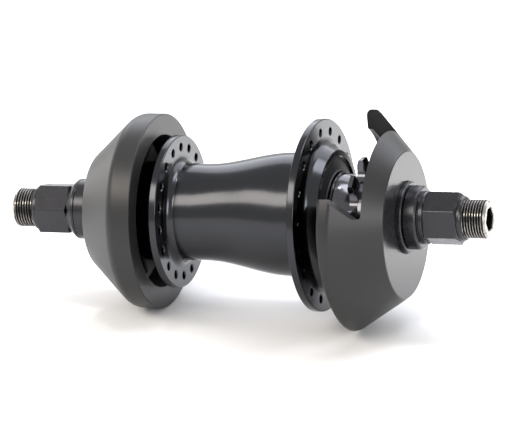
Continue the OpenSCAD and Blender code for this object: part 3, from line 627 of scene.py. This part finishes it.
# Cover: a moulded rubber shield in the shell's mouth, just outside the shell
# bearing. Its thin lip runs close to the driver's barrel and keeps grit out.
COVER_SIDES = 160
COVER_CORNERS = (
    (31.95, 16.3, 0.1), (31.95, 20.9, 0), (32.9, 20.9, 0.12), (32.9, 20.35, 0.12),
    (32.6, 20.2, 0.05), (33.7, 16.4, 0.1), (34.05, 16.2, 0.12), (34.05, 15.65, 0.12),
    (33.1, 15.65, 0.1),
)
cover_outline = arc_corners(COVER_CORNERS)
cover = turned(
    "shell_mouth_cover", lambda angle: cover_outline, even_angles(COVER_SIDES)
)
rides(cover, "shell", "seal_rubber", seal_rubber, "shell_bearing_seal")

# Driver: milled from hardened steel in one piece, with nine teeth for the
# chain, a polished tapering barrel, the shell bearing's seat and the screw.
SCREW_START, DRIVER_END = cad_ends("driver")
SCREW_END = 20.9
SCREW_STEP = 0.25
SCREW_R = 12.15
SCREW_ROOT_R = 10.6
SCREW_STARTS = 5
SCREW_LEAD = 20.0
LOBE_TOP = 11.2
LOBE_FOOT = 14.4
SCREW_BORE_R = 8.85
SEAT_AND_RINGS = (
    (20.94, 15.0), (22.31, 15.0), (22.31, 14.1), (23.37, 14.1), (23.37, 15.0),
    (30.5, 15.0), (30.5, 16.2), (30.6, 16.3), (31.6, 16.3), (31.7, 16.2),
    (31.7, 15.25), (34.2, 15.25), (34.3, 14.9), (34.6, 14.9), (34.7, 15.3),
    (34.85, 15.4), (35.0, 15.3), (35.1, 14.85), (35.35, 14.85),
)
END_AND_BORE = (
    (46.8, 14.5), (DRIVER_END, 13.7), (DRIVER_END, 12.0), (47.09, 12.0),
    (47.09, 12.9), (46.03, 12.9), (46.03, 12.0), (22.0, 12.0), (22.0, SCREW_BORE_R),
)
BARREL_START = 35.7
BARREL_START_R = 15.15
BARREL_END_R = 13.2
BARREL_TAPER = 1.5
BARREL_STEPS = 12
COG_FILLET = 0.4
COG_HUB_R = 14.5
COG_START = 42.25
COG_END = 45.15
COG_R = 21.26
COG_BEVEL_R = 19.3
COG_BEVEL_W = 0.7
COG_TURN = 92
DRIVER_CREASE = 24
TEETH = 9
PITCH_R = 18.566
GULLET_R = 3.95
GULLET_HALF = 12.28
TOOTH_HALF = 12.9
POLISH_SMEAR = 1.43
ROUNDING = 0.01
TOOTH_OFFSETS = (0, 2, 4, 6, 8, 10, 11.4, GULLET_HALF, TOOTH_HALF, 13.6, 16.8)


def screw_r(x, angle):
    """Radius of the five-start left-hand screw."""
    side = 360 / SCREW_STARTS
    turn = (math.degrees(angle) - 180 - x * 360 / SCREW_LEAD) % side
    off = min(turn, side - turn)
    height = min(1, max(0, (LOBE_FOOT - off) / (LOBE_FOOT - LOBE_TOP)))
    return SCREW_ROOT_R + (SCREW_R - SCREW_ROOT_R) * height


def tooth_r(angle):
    """Radius of the cog: round gullets for the rollers and flat-topped teeth."""
    pitch = 360 / TEETH
    off = abs((math.degrees(angle) - COG_TURN) % pitch - pitch / 2)
    if off >= TOOTH_HALF - ROUNDING:
        return COG_R
    along = math.radians(min(off, GULLET_HALF))
    inside = max(0, GULLET_R ** 2 - (PITCH_R * math.sin(along)) ** 2)
    return PITCH_R * math.cos(along) - math.sqrt(inside)


def cog_angles():
    """Angles that fall on the gullets' curves and on the teeth's corners."""
    angles = set()
    for tooth in range(TEETH):
        gullet = COG_TURN + (tooth + 0.5) * 360 / TEETH
        angles |= {round((gullet + off) % 360, 4) for off in TOOTH_OFFSETS}
        angles |= {round((gullet - off) % 360, 4) for off in TOOTH_OFFSETS}
        angles.add(round((gullet + 180 / TEETH) % 360, 4))
    return [math.radians(angle) for angle in sorted(angles)]


def driver_outline(angle):
    """The driver's section: screw, bearing seat, barrel, cog and the bore."""
    screw_steps = round((SCREW_END - SCREW_START) / SCREW_STEP)
    points = [(SCREW_START, SCREW_BORE_R)]
    for i in range(screw_steps + 1):
        x = SCREW_START + (SCREW_END - SCREW_START) * i / screw_steps
        points.append((x, screw_r(x, angle)))
    points += SEAT_AND_RINGS
    for i in range(BARREL_STEPS + 1):
        t = i / BARREL_STEPS
        r = BARREL_START_R - (BARREL_START_R - BARREL_END_R) * t ** BARREL_TAPER
        points.append((BARREL_START + (COG_START - COG_FILLET - BARREL_START) * t, r))
    tooth = tooth_r(angle)
    points += [
        (COG_START, BARREL_END_R + COG_FILLET), (COG_START, min(tooth, COG_BEVEL_R)),
        (COG_START + COG_BEVEL_W, tooth), (COG_END - COG_BEVEL_W, tooth),
        (COG_END, min(tooth, COG_BEVEL_R)), (COG_END, COG_HUB_R),
    ]
    points += END_AND_BORE
    return points


def polished_black_steel():
    """Case-hardened and polished black steel: dark and almost a mirror."""
    material, tree, shader, place = new_material("polished_black_steel")
    shader.inputs["Base Color"].default_value = linear("#5a5a5e")
    shader.inputs["Metallic"].default_value = 1.0
    smear = add_node(tree, "ShaderNodeTexNoise", {
        "Scale": pattern_scale(POLISH_SMEAR), "Detail": 3,
    }, {"Vector": place})
    rough = add_node(tree, "ShaderNodeMapRange", {
        "To Min": 0.1, "To Max": 0.22,
    }, {"Value": smear.outputs["Fac"]})
    tree.links.new(rough.outputs[0], shader.inputs["Roughness"])
    return material


driver = turned("nine_tooth_driver", driver_outline, cog_angles())
evened(driver, DRIVER_CREASE)
rides(driver, "driver", "driver_steel", polished_black_steel(), "driver")

# Guards: thick conical bowls of charcoal nylon, moulded with a fine spark
# texture. They keep pegs and rails off the spoke heads and the chain.
GUARD_SIDES = 180
GUARD_EDGE = 0.3
GUARD_FLOOR_FILLET = 1.0
LEFT_FOOT_FILLET = 0.5
LEFT_FACE_X, LEFT_RIM_X = [-x for x in cad_ends("left_guard")]
LEFT_BAND_R = 35.1
LEFT_CONE_X = 41.5
LEFT_CORNER_FILLET = 5.0
LEFT_RIM_FILLET = 0.4
LEFT_FACE_FILLET = 1.0
LEFT_END_R = 20.7
LEFT_CAVITY_R = 27.4
LEFT_CAVITY_X = 43.5
LEFT_FLOOR_X = 52.5
LEFT_FLOOR_R = 19.4
LEFT_HOLE_R = 11.0
GUARD_TUBE_R = 13.5
GUARD_HOLE_R = 9.6
GUARD_TUBE_X = 50.0
CLAMP_X = cad_ends("drive_spacer")[0]
RIB_COUNT = 6
RIB_HALF = 1.0
RIB_CORNERS = (
    (-44.5, 13.0), (-44.5, 28.5), (-48.0, 26.0), (-54.5, 17.5), (-54.5, 13.0),
)
GUARD_TILT = 16
SMOOTH_FROM = 58.4
SMOOTH_TO = 58.9
SMOOTH_ROUGHNESS = 0.22
NYLON_CLOUD = 16.7
SPARK_GRAIN = 0.303


def left_guard_outline():
    """The bowl's section: the band and cone outside, the face, the hole that is
    clamped on the axle, the tube round it and the cavity."""
    corners = [
        (-LEFT_RIM_X, LEFT_CAVITY_R, LEFT_RIM_FILLET),
        (-LEFT_RIM_X, LEFT_BAND_R, LEFT_RIM_FILLET),
        (-LEFT_CONE_X, LEFT_BAND_R, LEFT_CORNER_FILLET),
        (-LEFT_FACE_X, LEFT_END_R, LEFT_FACE_FILLET),
        (-LEFT_FACE_X, LEFT_HOLE_R, GUARD_EDGE), (-CLAMP_X, LEFT_HOLE_R, 0),
        (-CLAMP_X, GUARD_HOLE_R, 0), (-GUARD_TUBE_X, GUARD_HOLE_R, GUARD_EDGE),
        (-GUARD_TUBE_X, GUARD_TUBE_R, GUARD_EDGE),
        (-LEFT_FLOOR_X, GUARD_TUBE_R, LEFT_FOOT_FILLET),
        (-LEFT_FLOOR_X, LEFT_FLOOR_R, GUARD_FLOOR_FILLET),
        (-LEFT_CAVITY_X, LEFT_CAVITY_R, GUARD_FLOOR_FILLET),
    ]
    return arc_corners(corners, FINE_ARC)


def add_prism(shape, near, far):
    """Adds a solid between two outlines with as many points, in millimetres."""
    near = [shape.verts.new(point * MM) for point in near]
    far = [shape.verts.new(point * MM) for point in far]
    shape.faces.new(near)
    shape.faces.new(far[::-1])
    for k in range(len(near)):
        n = (k + 1) % len(near)
        shape.faces.new((near[k], far[k], far[n], near[n]))


def left_guard_ribs():
    """Six flat ribs that stiffen the bowl, from the tube to the wall."""
    shape = bmesh.new()
    for rib in range(RIB_COUNT):
        angle = math.radians(GUARD_TILT) + rib * 2 * math.pi / RIB_COUNT
        outward = Vector((0, -math.cos(angle), math.sin(angle)))
        sideways = Vector((0, math.sin(angle), math.cos(angle)))
        middle = [Vector((x, 0, 0)) + outward * r for x, r in RIB_CORNERS]
        add_prism(
            shape, [point - sideways * RIB_HALF for point in middle],
            [point + sideways * RIB_HALF for point in middle]
        )
    return piece_from("left_guard_ribs", shape)


def moulded_nylon():
    """Glass-filled nylon: charcoal and dull, with a spark texture that is drawn
    coarser than it is, so that it shows. Only the drive guard's end face comes
    smooth out of the mould."""
    material, tree, shader, place = new_material("charcoal_moulded_nylon")
    cloud = add_node(tree, "ShaderNodeTexNoise", {
        "Scale": pattern_scale(NYLON_CLOUD), "Detail": 5, "Roughness": 0.6,
    }, {"Vector": place})
    colour = add_node(tree, "ShaderNodeMix", {
        "data_type": "RGBA", 6: linear("#19191a"), 7: linear("#212122"),
    }, {0: cloud.outputs["Fac"]})
    tree.links.new(colour.outputs[2], shader.inputs["Base Color"])
    shader.inputs["IOR"].default_value = 1.48
    textured = add_node(tree, "ShaderNodeMapRange", {
        "To Min": 0.34, "To Max": 0.42,
    }, {"Value": cloud.outputs["Fac"]})
    axes = add_node(tree, "ShaderNodeSeparateXYZ", links={"Vector": place})
    along = add_node(tree, "ShaderNodeMath", {"operation": "ABSOLUTE"}, {
        0: axes.outputs["X"],
    })
    smooth = add_node(tree, "ShaderNodeMapRange", {
        "From Min": SMOOTH_FROM * MM, "From Max": SMOOTH_TO * MM,
    }, {"Value": along.outputs[0]})
    rough = add_node(tree, "ShaderNodeMix", {
        "data_type": "FLOAT", 3: SMOOTH_ROUGHNESS,
    }, {0: smooth.outputs[0], 2: textured.outputs[0]})
    tree.links.new(rough.outputs[0], shader.inputs["Roughness"])
    spark = add_node(tree, "ShaderNodeTexNoise", {
        "Scale": pattern_scale(SPARK_GRAIN), "Detail": 3,
    }, {"Vector": place})
    bump = add_node(tree, "ShaderNodeBump", {
        "Strength": 0.3, "Distance": 0.02 * MM,
    }, {"Height": spark.outputs["Fac"]})
    tree.links.new(bump.outputs[0], shader.inputs["Normal"])
    return material


nylon = moulded_nylon()
left_outline = left_guard_outline()
left_guard = turned(
    "left_guard_bowl", lambda angle: left_outline, even_angles(GUARD_SIDES)
)
combine(left_guard, "UNION", left_guard_ribs())
rides(evened(left_guard), "axle_set", "guard_plastic", nylon, "left_guard")

# Drive guard: the same nylon, but slanted: its rim and its end face lie below
# the axle, away from the opening where the chain runs out to the front.
DRIVE_GUARD_SIDES = 216
DRIVE_RIM_X, DRIVE_FACE_X = cad_ends("drive_guard")
DRIVE_RIM_R = 39.5
DRIVE_END_R = 26.2
RIM_SHIFT = 1.5
FACE_SHIFT = 2.8
RIM_FILLET = 1.4
RIM_FILLET_TOP = 0.8
CONE_FILLET = 2.6
CONE_FILLET_TOP = 1.2
DRIVE_FACE_FILLET = 0.9
DRIVE_FOOT_FILLET = 0.4
RIM_INNER_FILLET = 0.5
WALL_FILLET = 0.8
BAND_W = 2.8
BAND_MIN_W = 0.8
BAND_SLANT = 2.4
BAND_BOW = 0.7
RIM_BULGE = 1.8
RIM_BULGE_LEAN = math.radians(-100)
FIN_RISE = 1.0
FIN_HALF = math.radians(50)
FIN_SHARPNESS = 1.8
RIM_WALL = 5.4
CONE_WALL = 5.8
WALL_DRAFT = 0.05
CONE_X = DRIVE_RIM_X + BAND_W
CONE_SLOPE = (DRIVE_RIM_R - DRIVE_END_R) / (DRIVE_FACE_X - CONE_X)
DRIVE_CAVITY_R = DRIVE_RIM_R - RIM_WALL
INNER_CONE_R = DRIVE_RIM_R - CONE_WALL / math.cos(math.atan(CONE_SLOPE))
DRIVE_FLOOR_X = 54.5
GUARD_UP = math.radians(90 + GUARD_TILT)
DRIVE_HOLE_R = 12.9
OPENING_LOW = 6.0
OPENING_STEP_X = 41.3
OPENING_FLOOR = -0.9
OPENING_FLOOR_X = 49.8
OPENING_X = 52.4
OPENING_FILLET = 2.0
OPENING_END_FILLET = 1.4
OPENING_REACH = 60.0
OPENING_START_X = DRIVE_RIM_X - 2.0
OPENING_BACK = 8.0
OPENING_LEAN = math.tan(math.radians(18))
CUT_BEVEL = 0.8
CUT_BEVEL_FROM = math.radians(50)
CUT_BEVEL_STEPS = 3


def off_centre_r(r, shift, angle):
    """Distance from the axle to a circle that lies below it by shift."""
    lean = angle - GUARD_UP
    return -shift * math.cos(lean) + math.sqrt(r ** 2 - (shift * math.sin(lean)) ** 2)


def drive_guard_outline(angle):
    """The bowl's section. Its band is wide at the top and fades out at the
    bottom, and its rim bulges towards the flange at the front."""
    lean = math.remainder(angle - GUARD_UP, 2 * math.pi)
    start = CONE_X + BAND_SLANT * math.cos(lean) - BAND_BOW * math.cos(lean) ** 2
    narrow_x = DRIVE_RIM_X + BAND_MIN_W
    band_x = max(narrow_x, start)
    rim_x = DRIVE_RIM_X - RIM_BULGE * max(0, math.cos(lean - RIM_BULGE_LEAN)) ** 4
    rim_inner = min(DRIVE_CAVITY_R, INNER_CONE_R + CONE_SLOPE * (start - DRIVE_RIM_X))
    wall_x = max(narrow_x, start + (INNER_CONE_R - DRIVE_CAVITY_R) / CONE_SLOPE)
    floor_r = INNER_CONE_R - CONE_SLOPE * (DRIVE_FLOOR_X - CONE_X)
    rim_r = off_centre_r(DRIVE_RIM_R, RIM_SHIFT, angle)
    if abs(lean) < FIN_HALF:
        rim_r += FIN_RISE * math.cos(lean * FIN_SHARPNESS) ** 2
    inner_r = off_centre_r(rim_inner, RIM_SHIFT, angle)
    face_r = off_centre_r(DRIVE_END_R, FACE_SHIFT, angle)
    floor_r = off_centre_r(floor_r, FACE_SHIFT, angle)
    corners = [
        (rim_x, inner_r, RIM_INNER_FILLET),
        (rim_x, rim_r, RIM_FILLET + RIM_FILLET_TOP * max(0, math.cos(lean))),
        (band_x, rim_r, CONE_FILLET - CONE_FILLET_TOP * math.cos(lean)),
        (DRIVE_FACE_X, face_r, DRIVE_FACE_FILLET),
        (DRIVE_FACE_X, DRIVE_HOLE_R, GUARD_EDGE),
        (CLAMP_X, DRIVE_HOLE_R, 0), (CLAMP_X, GUARD_HOLE_R, 0),
        (GUARD_TUBE_X, GUARD_HOLE_R, GUARD_EDGE),
        (GUARD_TUBE_X, GUARD_TUBE_R, GUARD_EDGE),
        (DRIVE_FLOOR_X, GUARD_TUBE_R, DRIVE_FOOT_FILLET),
        (DRIVE_FLOOR_X, floor_r, GUARD_FLOOR_FILLET),
        (wall_x, inner_r - WALL_DRAFT, WALL_FILLET),
    ]
    return arc_corners(corners, FINE_ARC)


def chain_opening_cutter():
    """A block that cuts the wall, from the stepped edge at the front to the
    leaning edge just behind the top."""
    upward = Vector((0, -math.cos(GUARD_UP), math.sin(GUARD_UP)))
    forward = Vector((0, -math.sin(GUARD_UP), -math.cos(GUARD_UP)))
    top = DRIVE_RIM_R - RIM_SHIFT
    profile = arc_corners([
        (OPENING_START_X, OPENING_LOW, 0),
        (OPENING_STEP_X, OPENING_LOW, OPENING_FILLET),
        (OPENING_FLOOR_X, OPENING_FLOOR, OPENING_FILLET),
        (OPENING_X, OPENING_FLOOR, OPENING_END_FILLET),
        (OPENING_X, OPENING_REACH, 0), (OPENING_START_X, OPENING_REACH, 0),
    ], FINE_ARC)
    rear = [
        Vector((x, 0, 0)) + upward * h
        + forward * ((h - top) * OPENING_LEAN - OPENING_BACK) for x, h in profile
    ]
    front = [
        Vector((x, 0, 0)) + upward * h + forward * OPENING_REACH for x, h in profile
    ]
    shape = bmesh.new()
    add_prism(shape, rear, front)
    return piece_from("chain_opening", shape)


drive_guard = turned(
    "drive_guard_bowl", drive_guard_outline, even_angles(DRIVE_GUARD_SIDES)
)
combine(drive_guard, "DIFFERENCE", chain_opening_cutter())
edges = drive_guard.modifiers.new("rounded_cut", "BEVEL")
edges.limit_method = "ANGLE"
edges.angle_limit = CUT_BEVEL_FROM
edges.width = CUT_BEVEL * MM
edges.segments = CUT_BEVEL_STEPS
applied(drive_guard)
rides(evened(drive_guard), "axle_set", "guard_plastic", nylon, "drive_guard")

# Spacers, washers and nuts: turned steel, blackened in hot salts and oiled.
# They are the last things on the axle and clamp the frame.
RING_SIDES = 128
WASHER_BORE_R = 7.1
SPACER_R = 12.8
SPACER_END = cad_ends("drive_spacer")[1]
WASHER_R = 11.4
WASHER_BEVEL = 0.6
WASHER_BEVEL_X = 65.1
GROOVE_X = 65.7
GROOVE_DEPTH = 2.0
DRIVE_NUT_X = cad_ends("drive_axle_nut")[0]
DRIVE_NUT_TURN = 30.3
LEFT_WASHER_R = 10.9
LEFT_WASHER_X = -cad_ends("left_nut_washer")[1]
LEFT_WASHER_EDGE_X = 65.5
LEFT_WASHER_END_R = 8.9
LEFT_NUT_X = -cad_ends("left_axle_nut")[1]
LEFT_NUT_TURN = 11.6
NUT_FLAT_R = 8.5
NUT_CORNER_R = 9.76
NUT_LENGTH = 12.4
NUT_FLAT_STEPS = 10
NUT_BEVEL_STEPS = 6
NUT_BEVEL_R = 8.3
NUT_INNER_BEVEL = 0.3
NUT_OUTER_BEVEL = 0.7
NUT_NOSE = (
    (0.05, 8.1), (0.8, 8.1), (1.36, 7.75), (1.6, 7.35), (1.6, 7.33), (1.2, 7.03),
)
NUT_BORE_R = 7.03
NUT_BORE_BEVEL = 0.4
NUT_CREASE = 20
OIL_PATCH = 2.86


def blackened_steel():
    """Black oxide on turned or milled steel: satin, with a thin film of oil."""
    material, tree, shader, place = new_material("blackened_steel")
    shader.inputs["Base Color"].default_value = linear("#404043")
    shader.inputs["Metallic"].default_value = 1.0
    oil = add_node(tree, "ShaderNodeTexNoise", {
        "Scale": pattern_scale(OIL_PATCH), "Detail": 5,
    }, {"Vector": place})
    rough = add_node(tree, "ShaderNodeMapRange", {
        "To Min": 0.22, "To Max": 0.32,
    }, {"Value": oil.outputs["Fac"]})
    tree.links.new(rough.outputs[0], shader.inputs["Roughness"])
    bump = add_node(tree, "ShaderNodeBump", {
        "Strength": 0.04, "Distance": 0.002 * MM,
    }, {"Height": oil.outputs["Fac"]})
    tree.links.new(bump.outputs[0], shader.inputs["Normal"])
    return material


def plain_ring(name, corners, side=1):
    """A turned ring from (x, r, fillet) corners, mirrored where side is -1."""
    outline = arc_corners([(side * x, r, fillet) for x, r, fillet in corners])
    return evened(turned(name, lambda angle: outline, even_angles(RING_SIDES)))


def nut_angles():
    """Angles that fall on the nut's corners and sample its flats evenly."""
    corner = math.acos(NUT_FLAT_R / NUT_CORNER_R)
    shares = [2 * k / NUT_FLAT_STEPS - 1 for k in range(NUT_FLAT_STEPS + 1)]
    angles = []
    for flat in range(6):
        middle = (flat + 0.5) * math.pi / 3
        angles += [middle + corner * share for share in shares]
    return angles


def axle_nut(name, x, turn, side):
    """A six-sided nut, bevelled at both ends, with a round nose outside."""
    turn = math.radians(turn)
    end = x + NUT_LENGTH

    def bevel(start, length, flat_r):
        """Points of a round bevel, from the end face at start inwards."""
        rise = NUT_CORNER_R - NUT_BEVEL_R
        return [
            (
                start + length * k / NUT_BEVEL_STEPS,
                min(flat_r, NUT_BEVEL_R + rise * k / NUT_BEVEL_STEPS),
            ) for k in range(NUT_BEVEL_STEPS + 1)
        ]

    def outline(angle):
        flat_r = min(NUT_CORNER_R, six_sided(NUT_FLAT_R, angle, turn))
        inner = bevel(x, NUT_INNER_BEVEL, flat_r)
        outer = bevel(end, -NUT_OUTER_BEVEL, flat_r)
        points = [(x, NUT_BORE_R + NUT_BORE_BEVEL)] + inner + outer[::-1]
        points += [(end + out, r) for out, r in NUT_NOSE]
        points.append((x + NUT_BORE_BEVEL, NUT_BORE_R))
        return [(side * px, pr) for px, pr in points]

    piece = turned(name, outline, [a + turn for a in nut_angles()])
    piece.data.set_sharp_from_angle(angle=math.radians(NUT_CREASE))
    return piece


black_steel = blackened_steel()
drive_spacer = plain_ring("drive_spacer_collar", [
    (CLAMP_X, WASHER_BORE_R, 0), (CLAMP_X, SPACER_R, 0.2), (SPACER_END, SPACER_R, 0.6),
    (SPACER_END, WASHER_BORE_R, 0),
])
rides(drive_spacer, "axle_set", "black_steel", black_steel, "drive_spacer")
drive_washer = plain_ring("drive_washer_ring", [
    (SPACER_END, WASHER_BORE_R, 0), (SPACER_END, WASHER_R, 0.4),
    (WASHER_BEVEL_X, WASHER_R, 0.3), (GROOVE_X, WASHER_R - WASHER_BEVEL, 0.2),
    (GROOVE_X, WASHER_R - GROOVE_DEPTH, 0.1),
    (DRIVE_NUT_X, WASHER_R - GROOVE_DEPTH, 0.2), (DRIVE_NUT_X, WASHER_BORE_R, 0),
])
rides(drive_washer, "axle_set", "black_steel", black_steel, "drive_nut_washer")
left_spacer = plain_ring("left_spacer_collar", [
    (CLAMP_X, WASHER_BORE_R, 0), (CLAMP_X, LEFT_WASHER_R, 0.2),
    (LEFT_WASHER_X, LEFT_WASHER_R, 0.3), (LEFT_WASHER_X, WASHER_BORE_R, 0),
], -1)
rides(left_spacer, "axle_set", "black_steel", black_steel, "left_spacer")
left_washer = plain_ring("left_washer_ring", [
    (LEFT_WASHER_X, WASHER_BORE_R, 0), (LEFT_WASHER_X, LEFT_WASHER_R, 0.3),
    (LEFT_WASHER_EDGE_X, LEFT_WASHER_R, 0.3), (LEFT_NUT_X, LEFT_WASHER_END_R, 0.2),
    (LEFT_NUT_X, WASHER_BORE_R, 0),
], -1)
rides(left_washer, "axle_set", "black_steel", black_steel, "left_nut_washer")
drive_nut = axle_nut("drive_nut_hex", DRIVE_NUT_X, DRIVE_NUT_TURN, 1)
rides(drive_nut, "axle_set", "black_steel", black_steel, "drive_axle_nut")
left_nut = axle_nut("left_nut_hex", LEFT_NUT_X, LEFT_NUT_TURN, -1)
rides(left_nut, "axle_set", "black_steel", black_steel, "left_axle_nut")

# Studio: a wide pale floor under the hub, which lies on the rims of its two
# guards. Large soft lights stand behind it, in front and at the sides, and two
# spots brighten the floor behind it and at the left.
LEFT_REST_X = -38.5
DRIVE_REST_X = DRIVE_RIM_X + 0.6
LEFT_REST = Vector((LEFT_REST_X, 0, -LEFT_BAND_R)) * MM
DRIVE_REST = Vector((DRIVE_REST_X, 0, -DRIVE_RIM_R - RIM_SHIFT)) * MM
FLOOR_SIZE = 12.0
AIR_STRENGTH = 0.88
SPOT_HEIGHT = 1.2
SPOT_RADIUS = 0.12
SPOT_BLEND = 0.6

# Name, azimuth, elevation, distance, width, height, power and colour.
SOFTBOXES = (
    ("back_softbox", 180, 36, 1.8, 3.0, 1.2, 26, "#f4f6ff"),
    ("front_softbox", -32, 40, 1.8, 1.7, 0.66, 22, "#fff6ea"),
    ("left_softbox", -104, 8, 1.8, 1.6, 0.6, 7, "#fffdf8"),
    ("right_softbox", 60, 15, 1.8, 0.7, 0.7, 9, "#ffffff"),
    ("top_right_softbox", 131, 67, 1.6, 0.7, 0.7, 10, "#f8f9ff"),
)
# Name, x, y, width of the beam in degrees, and power.
FLOOR_SPOTS = (
    ("back_floor_spot", 0.11, 0.22, 17, 95),
    ("left_floor_spot", -0.2, 0.06, 14, 50),
)


def pale_floor():
    """A matt white studio floor."""
    material, _, shader, _ = new_material("pale_floor")
    shader.inputs["Base Color"].default_value = linear("#f0f0f0")
    shader.inputs["Roughness"].default_value = 0.9
    shader.inputs["Specular IOR Level"].default_value = 0.1
    return material


floor_line = (DRIVE_REST - LEFT_REST).normalized()
floor_mesh = bpy.data.meshes.new("floor")
half = FLOOR_SIZE / 2
across = Vector((0, half, 0))
along = floor_line * half
floor_mesh.from_pydata(
    [LEFT_REST - along - across, LEFT_REST + along - across,
     LEFT_REST + along + across, LEFT_REST - along + across],
    [], [(0, 1, 2, 3)],
)
floor = bpy.data.objects.new("floor", floor_mesh)
bpy.context.scene.collection.objects.link(floor)
floor.data.materials.append(pale_floor())


def soft_light(name, azimuth, elevation, distance, width, height, power, code):
    """An area light that faces the hub from a direction in degrees."""
    light = bpy.data.lights.new(name, "AREA")
    light.shape = "RECTANGLE"
    light.size = width
    light.size_y = height
    light.energy = power
    light.color = linear(code)[:3]
    lamp = bpy.data.objects.new(name, light)
    bpy.context.scene.collection.objects.link(lamp)
    a, e = math.radians(azimuth), math.radians(elevation)
    away = Vector((
        math.sin(a) * math.cos(e), -math.cos(a) * math.cos(e), math.sin(e)
    ))
    lamp.location = away * distance
    lamp.rotation_euler = away.to_track_quat("Z", "Y").to_euler()


def floor_spot(name, x, y, width, power):
    """A spot that shines straight down on the floor."""
    light = bpy.data.lights.new(name, "SPOT")
    light.energy = power
    light.spot_size = math.radians(width)
    light.spot_blend = SPOT_BLEND
    light.shadow_soft_size = SPOT_RADIUS
    lamp = bpy.data.objects.new(name, light)
    lamp.location = (x, y, SPOT_HEIGHT)
    bpy.context.scene.collection.objects.link(lamp)


for softbox in SOFTBOXES:
    soft_light(*softbox)
for spot in FLOOR_SPOTS:
    floor_spot(*spot)

world = bpy.data.worlds.new("studio_air")
world.use_nodes = True
air = world.node_tree.nodes["Background"]
air.inputs["Color"].default_value = linear("#ececec")
air.inputs["Strength"].default_value = AIR_STRENGTH
bpy.context.scene.world = world
bpy.context.scene.view_settings.view_transform = "Standard"
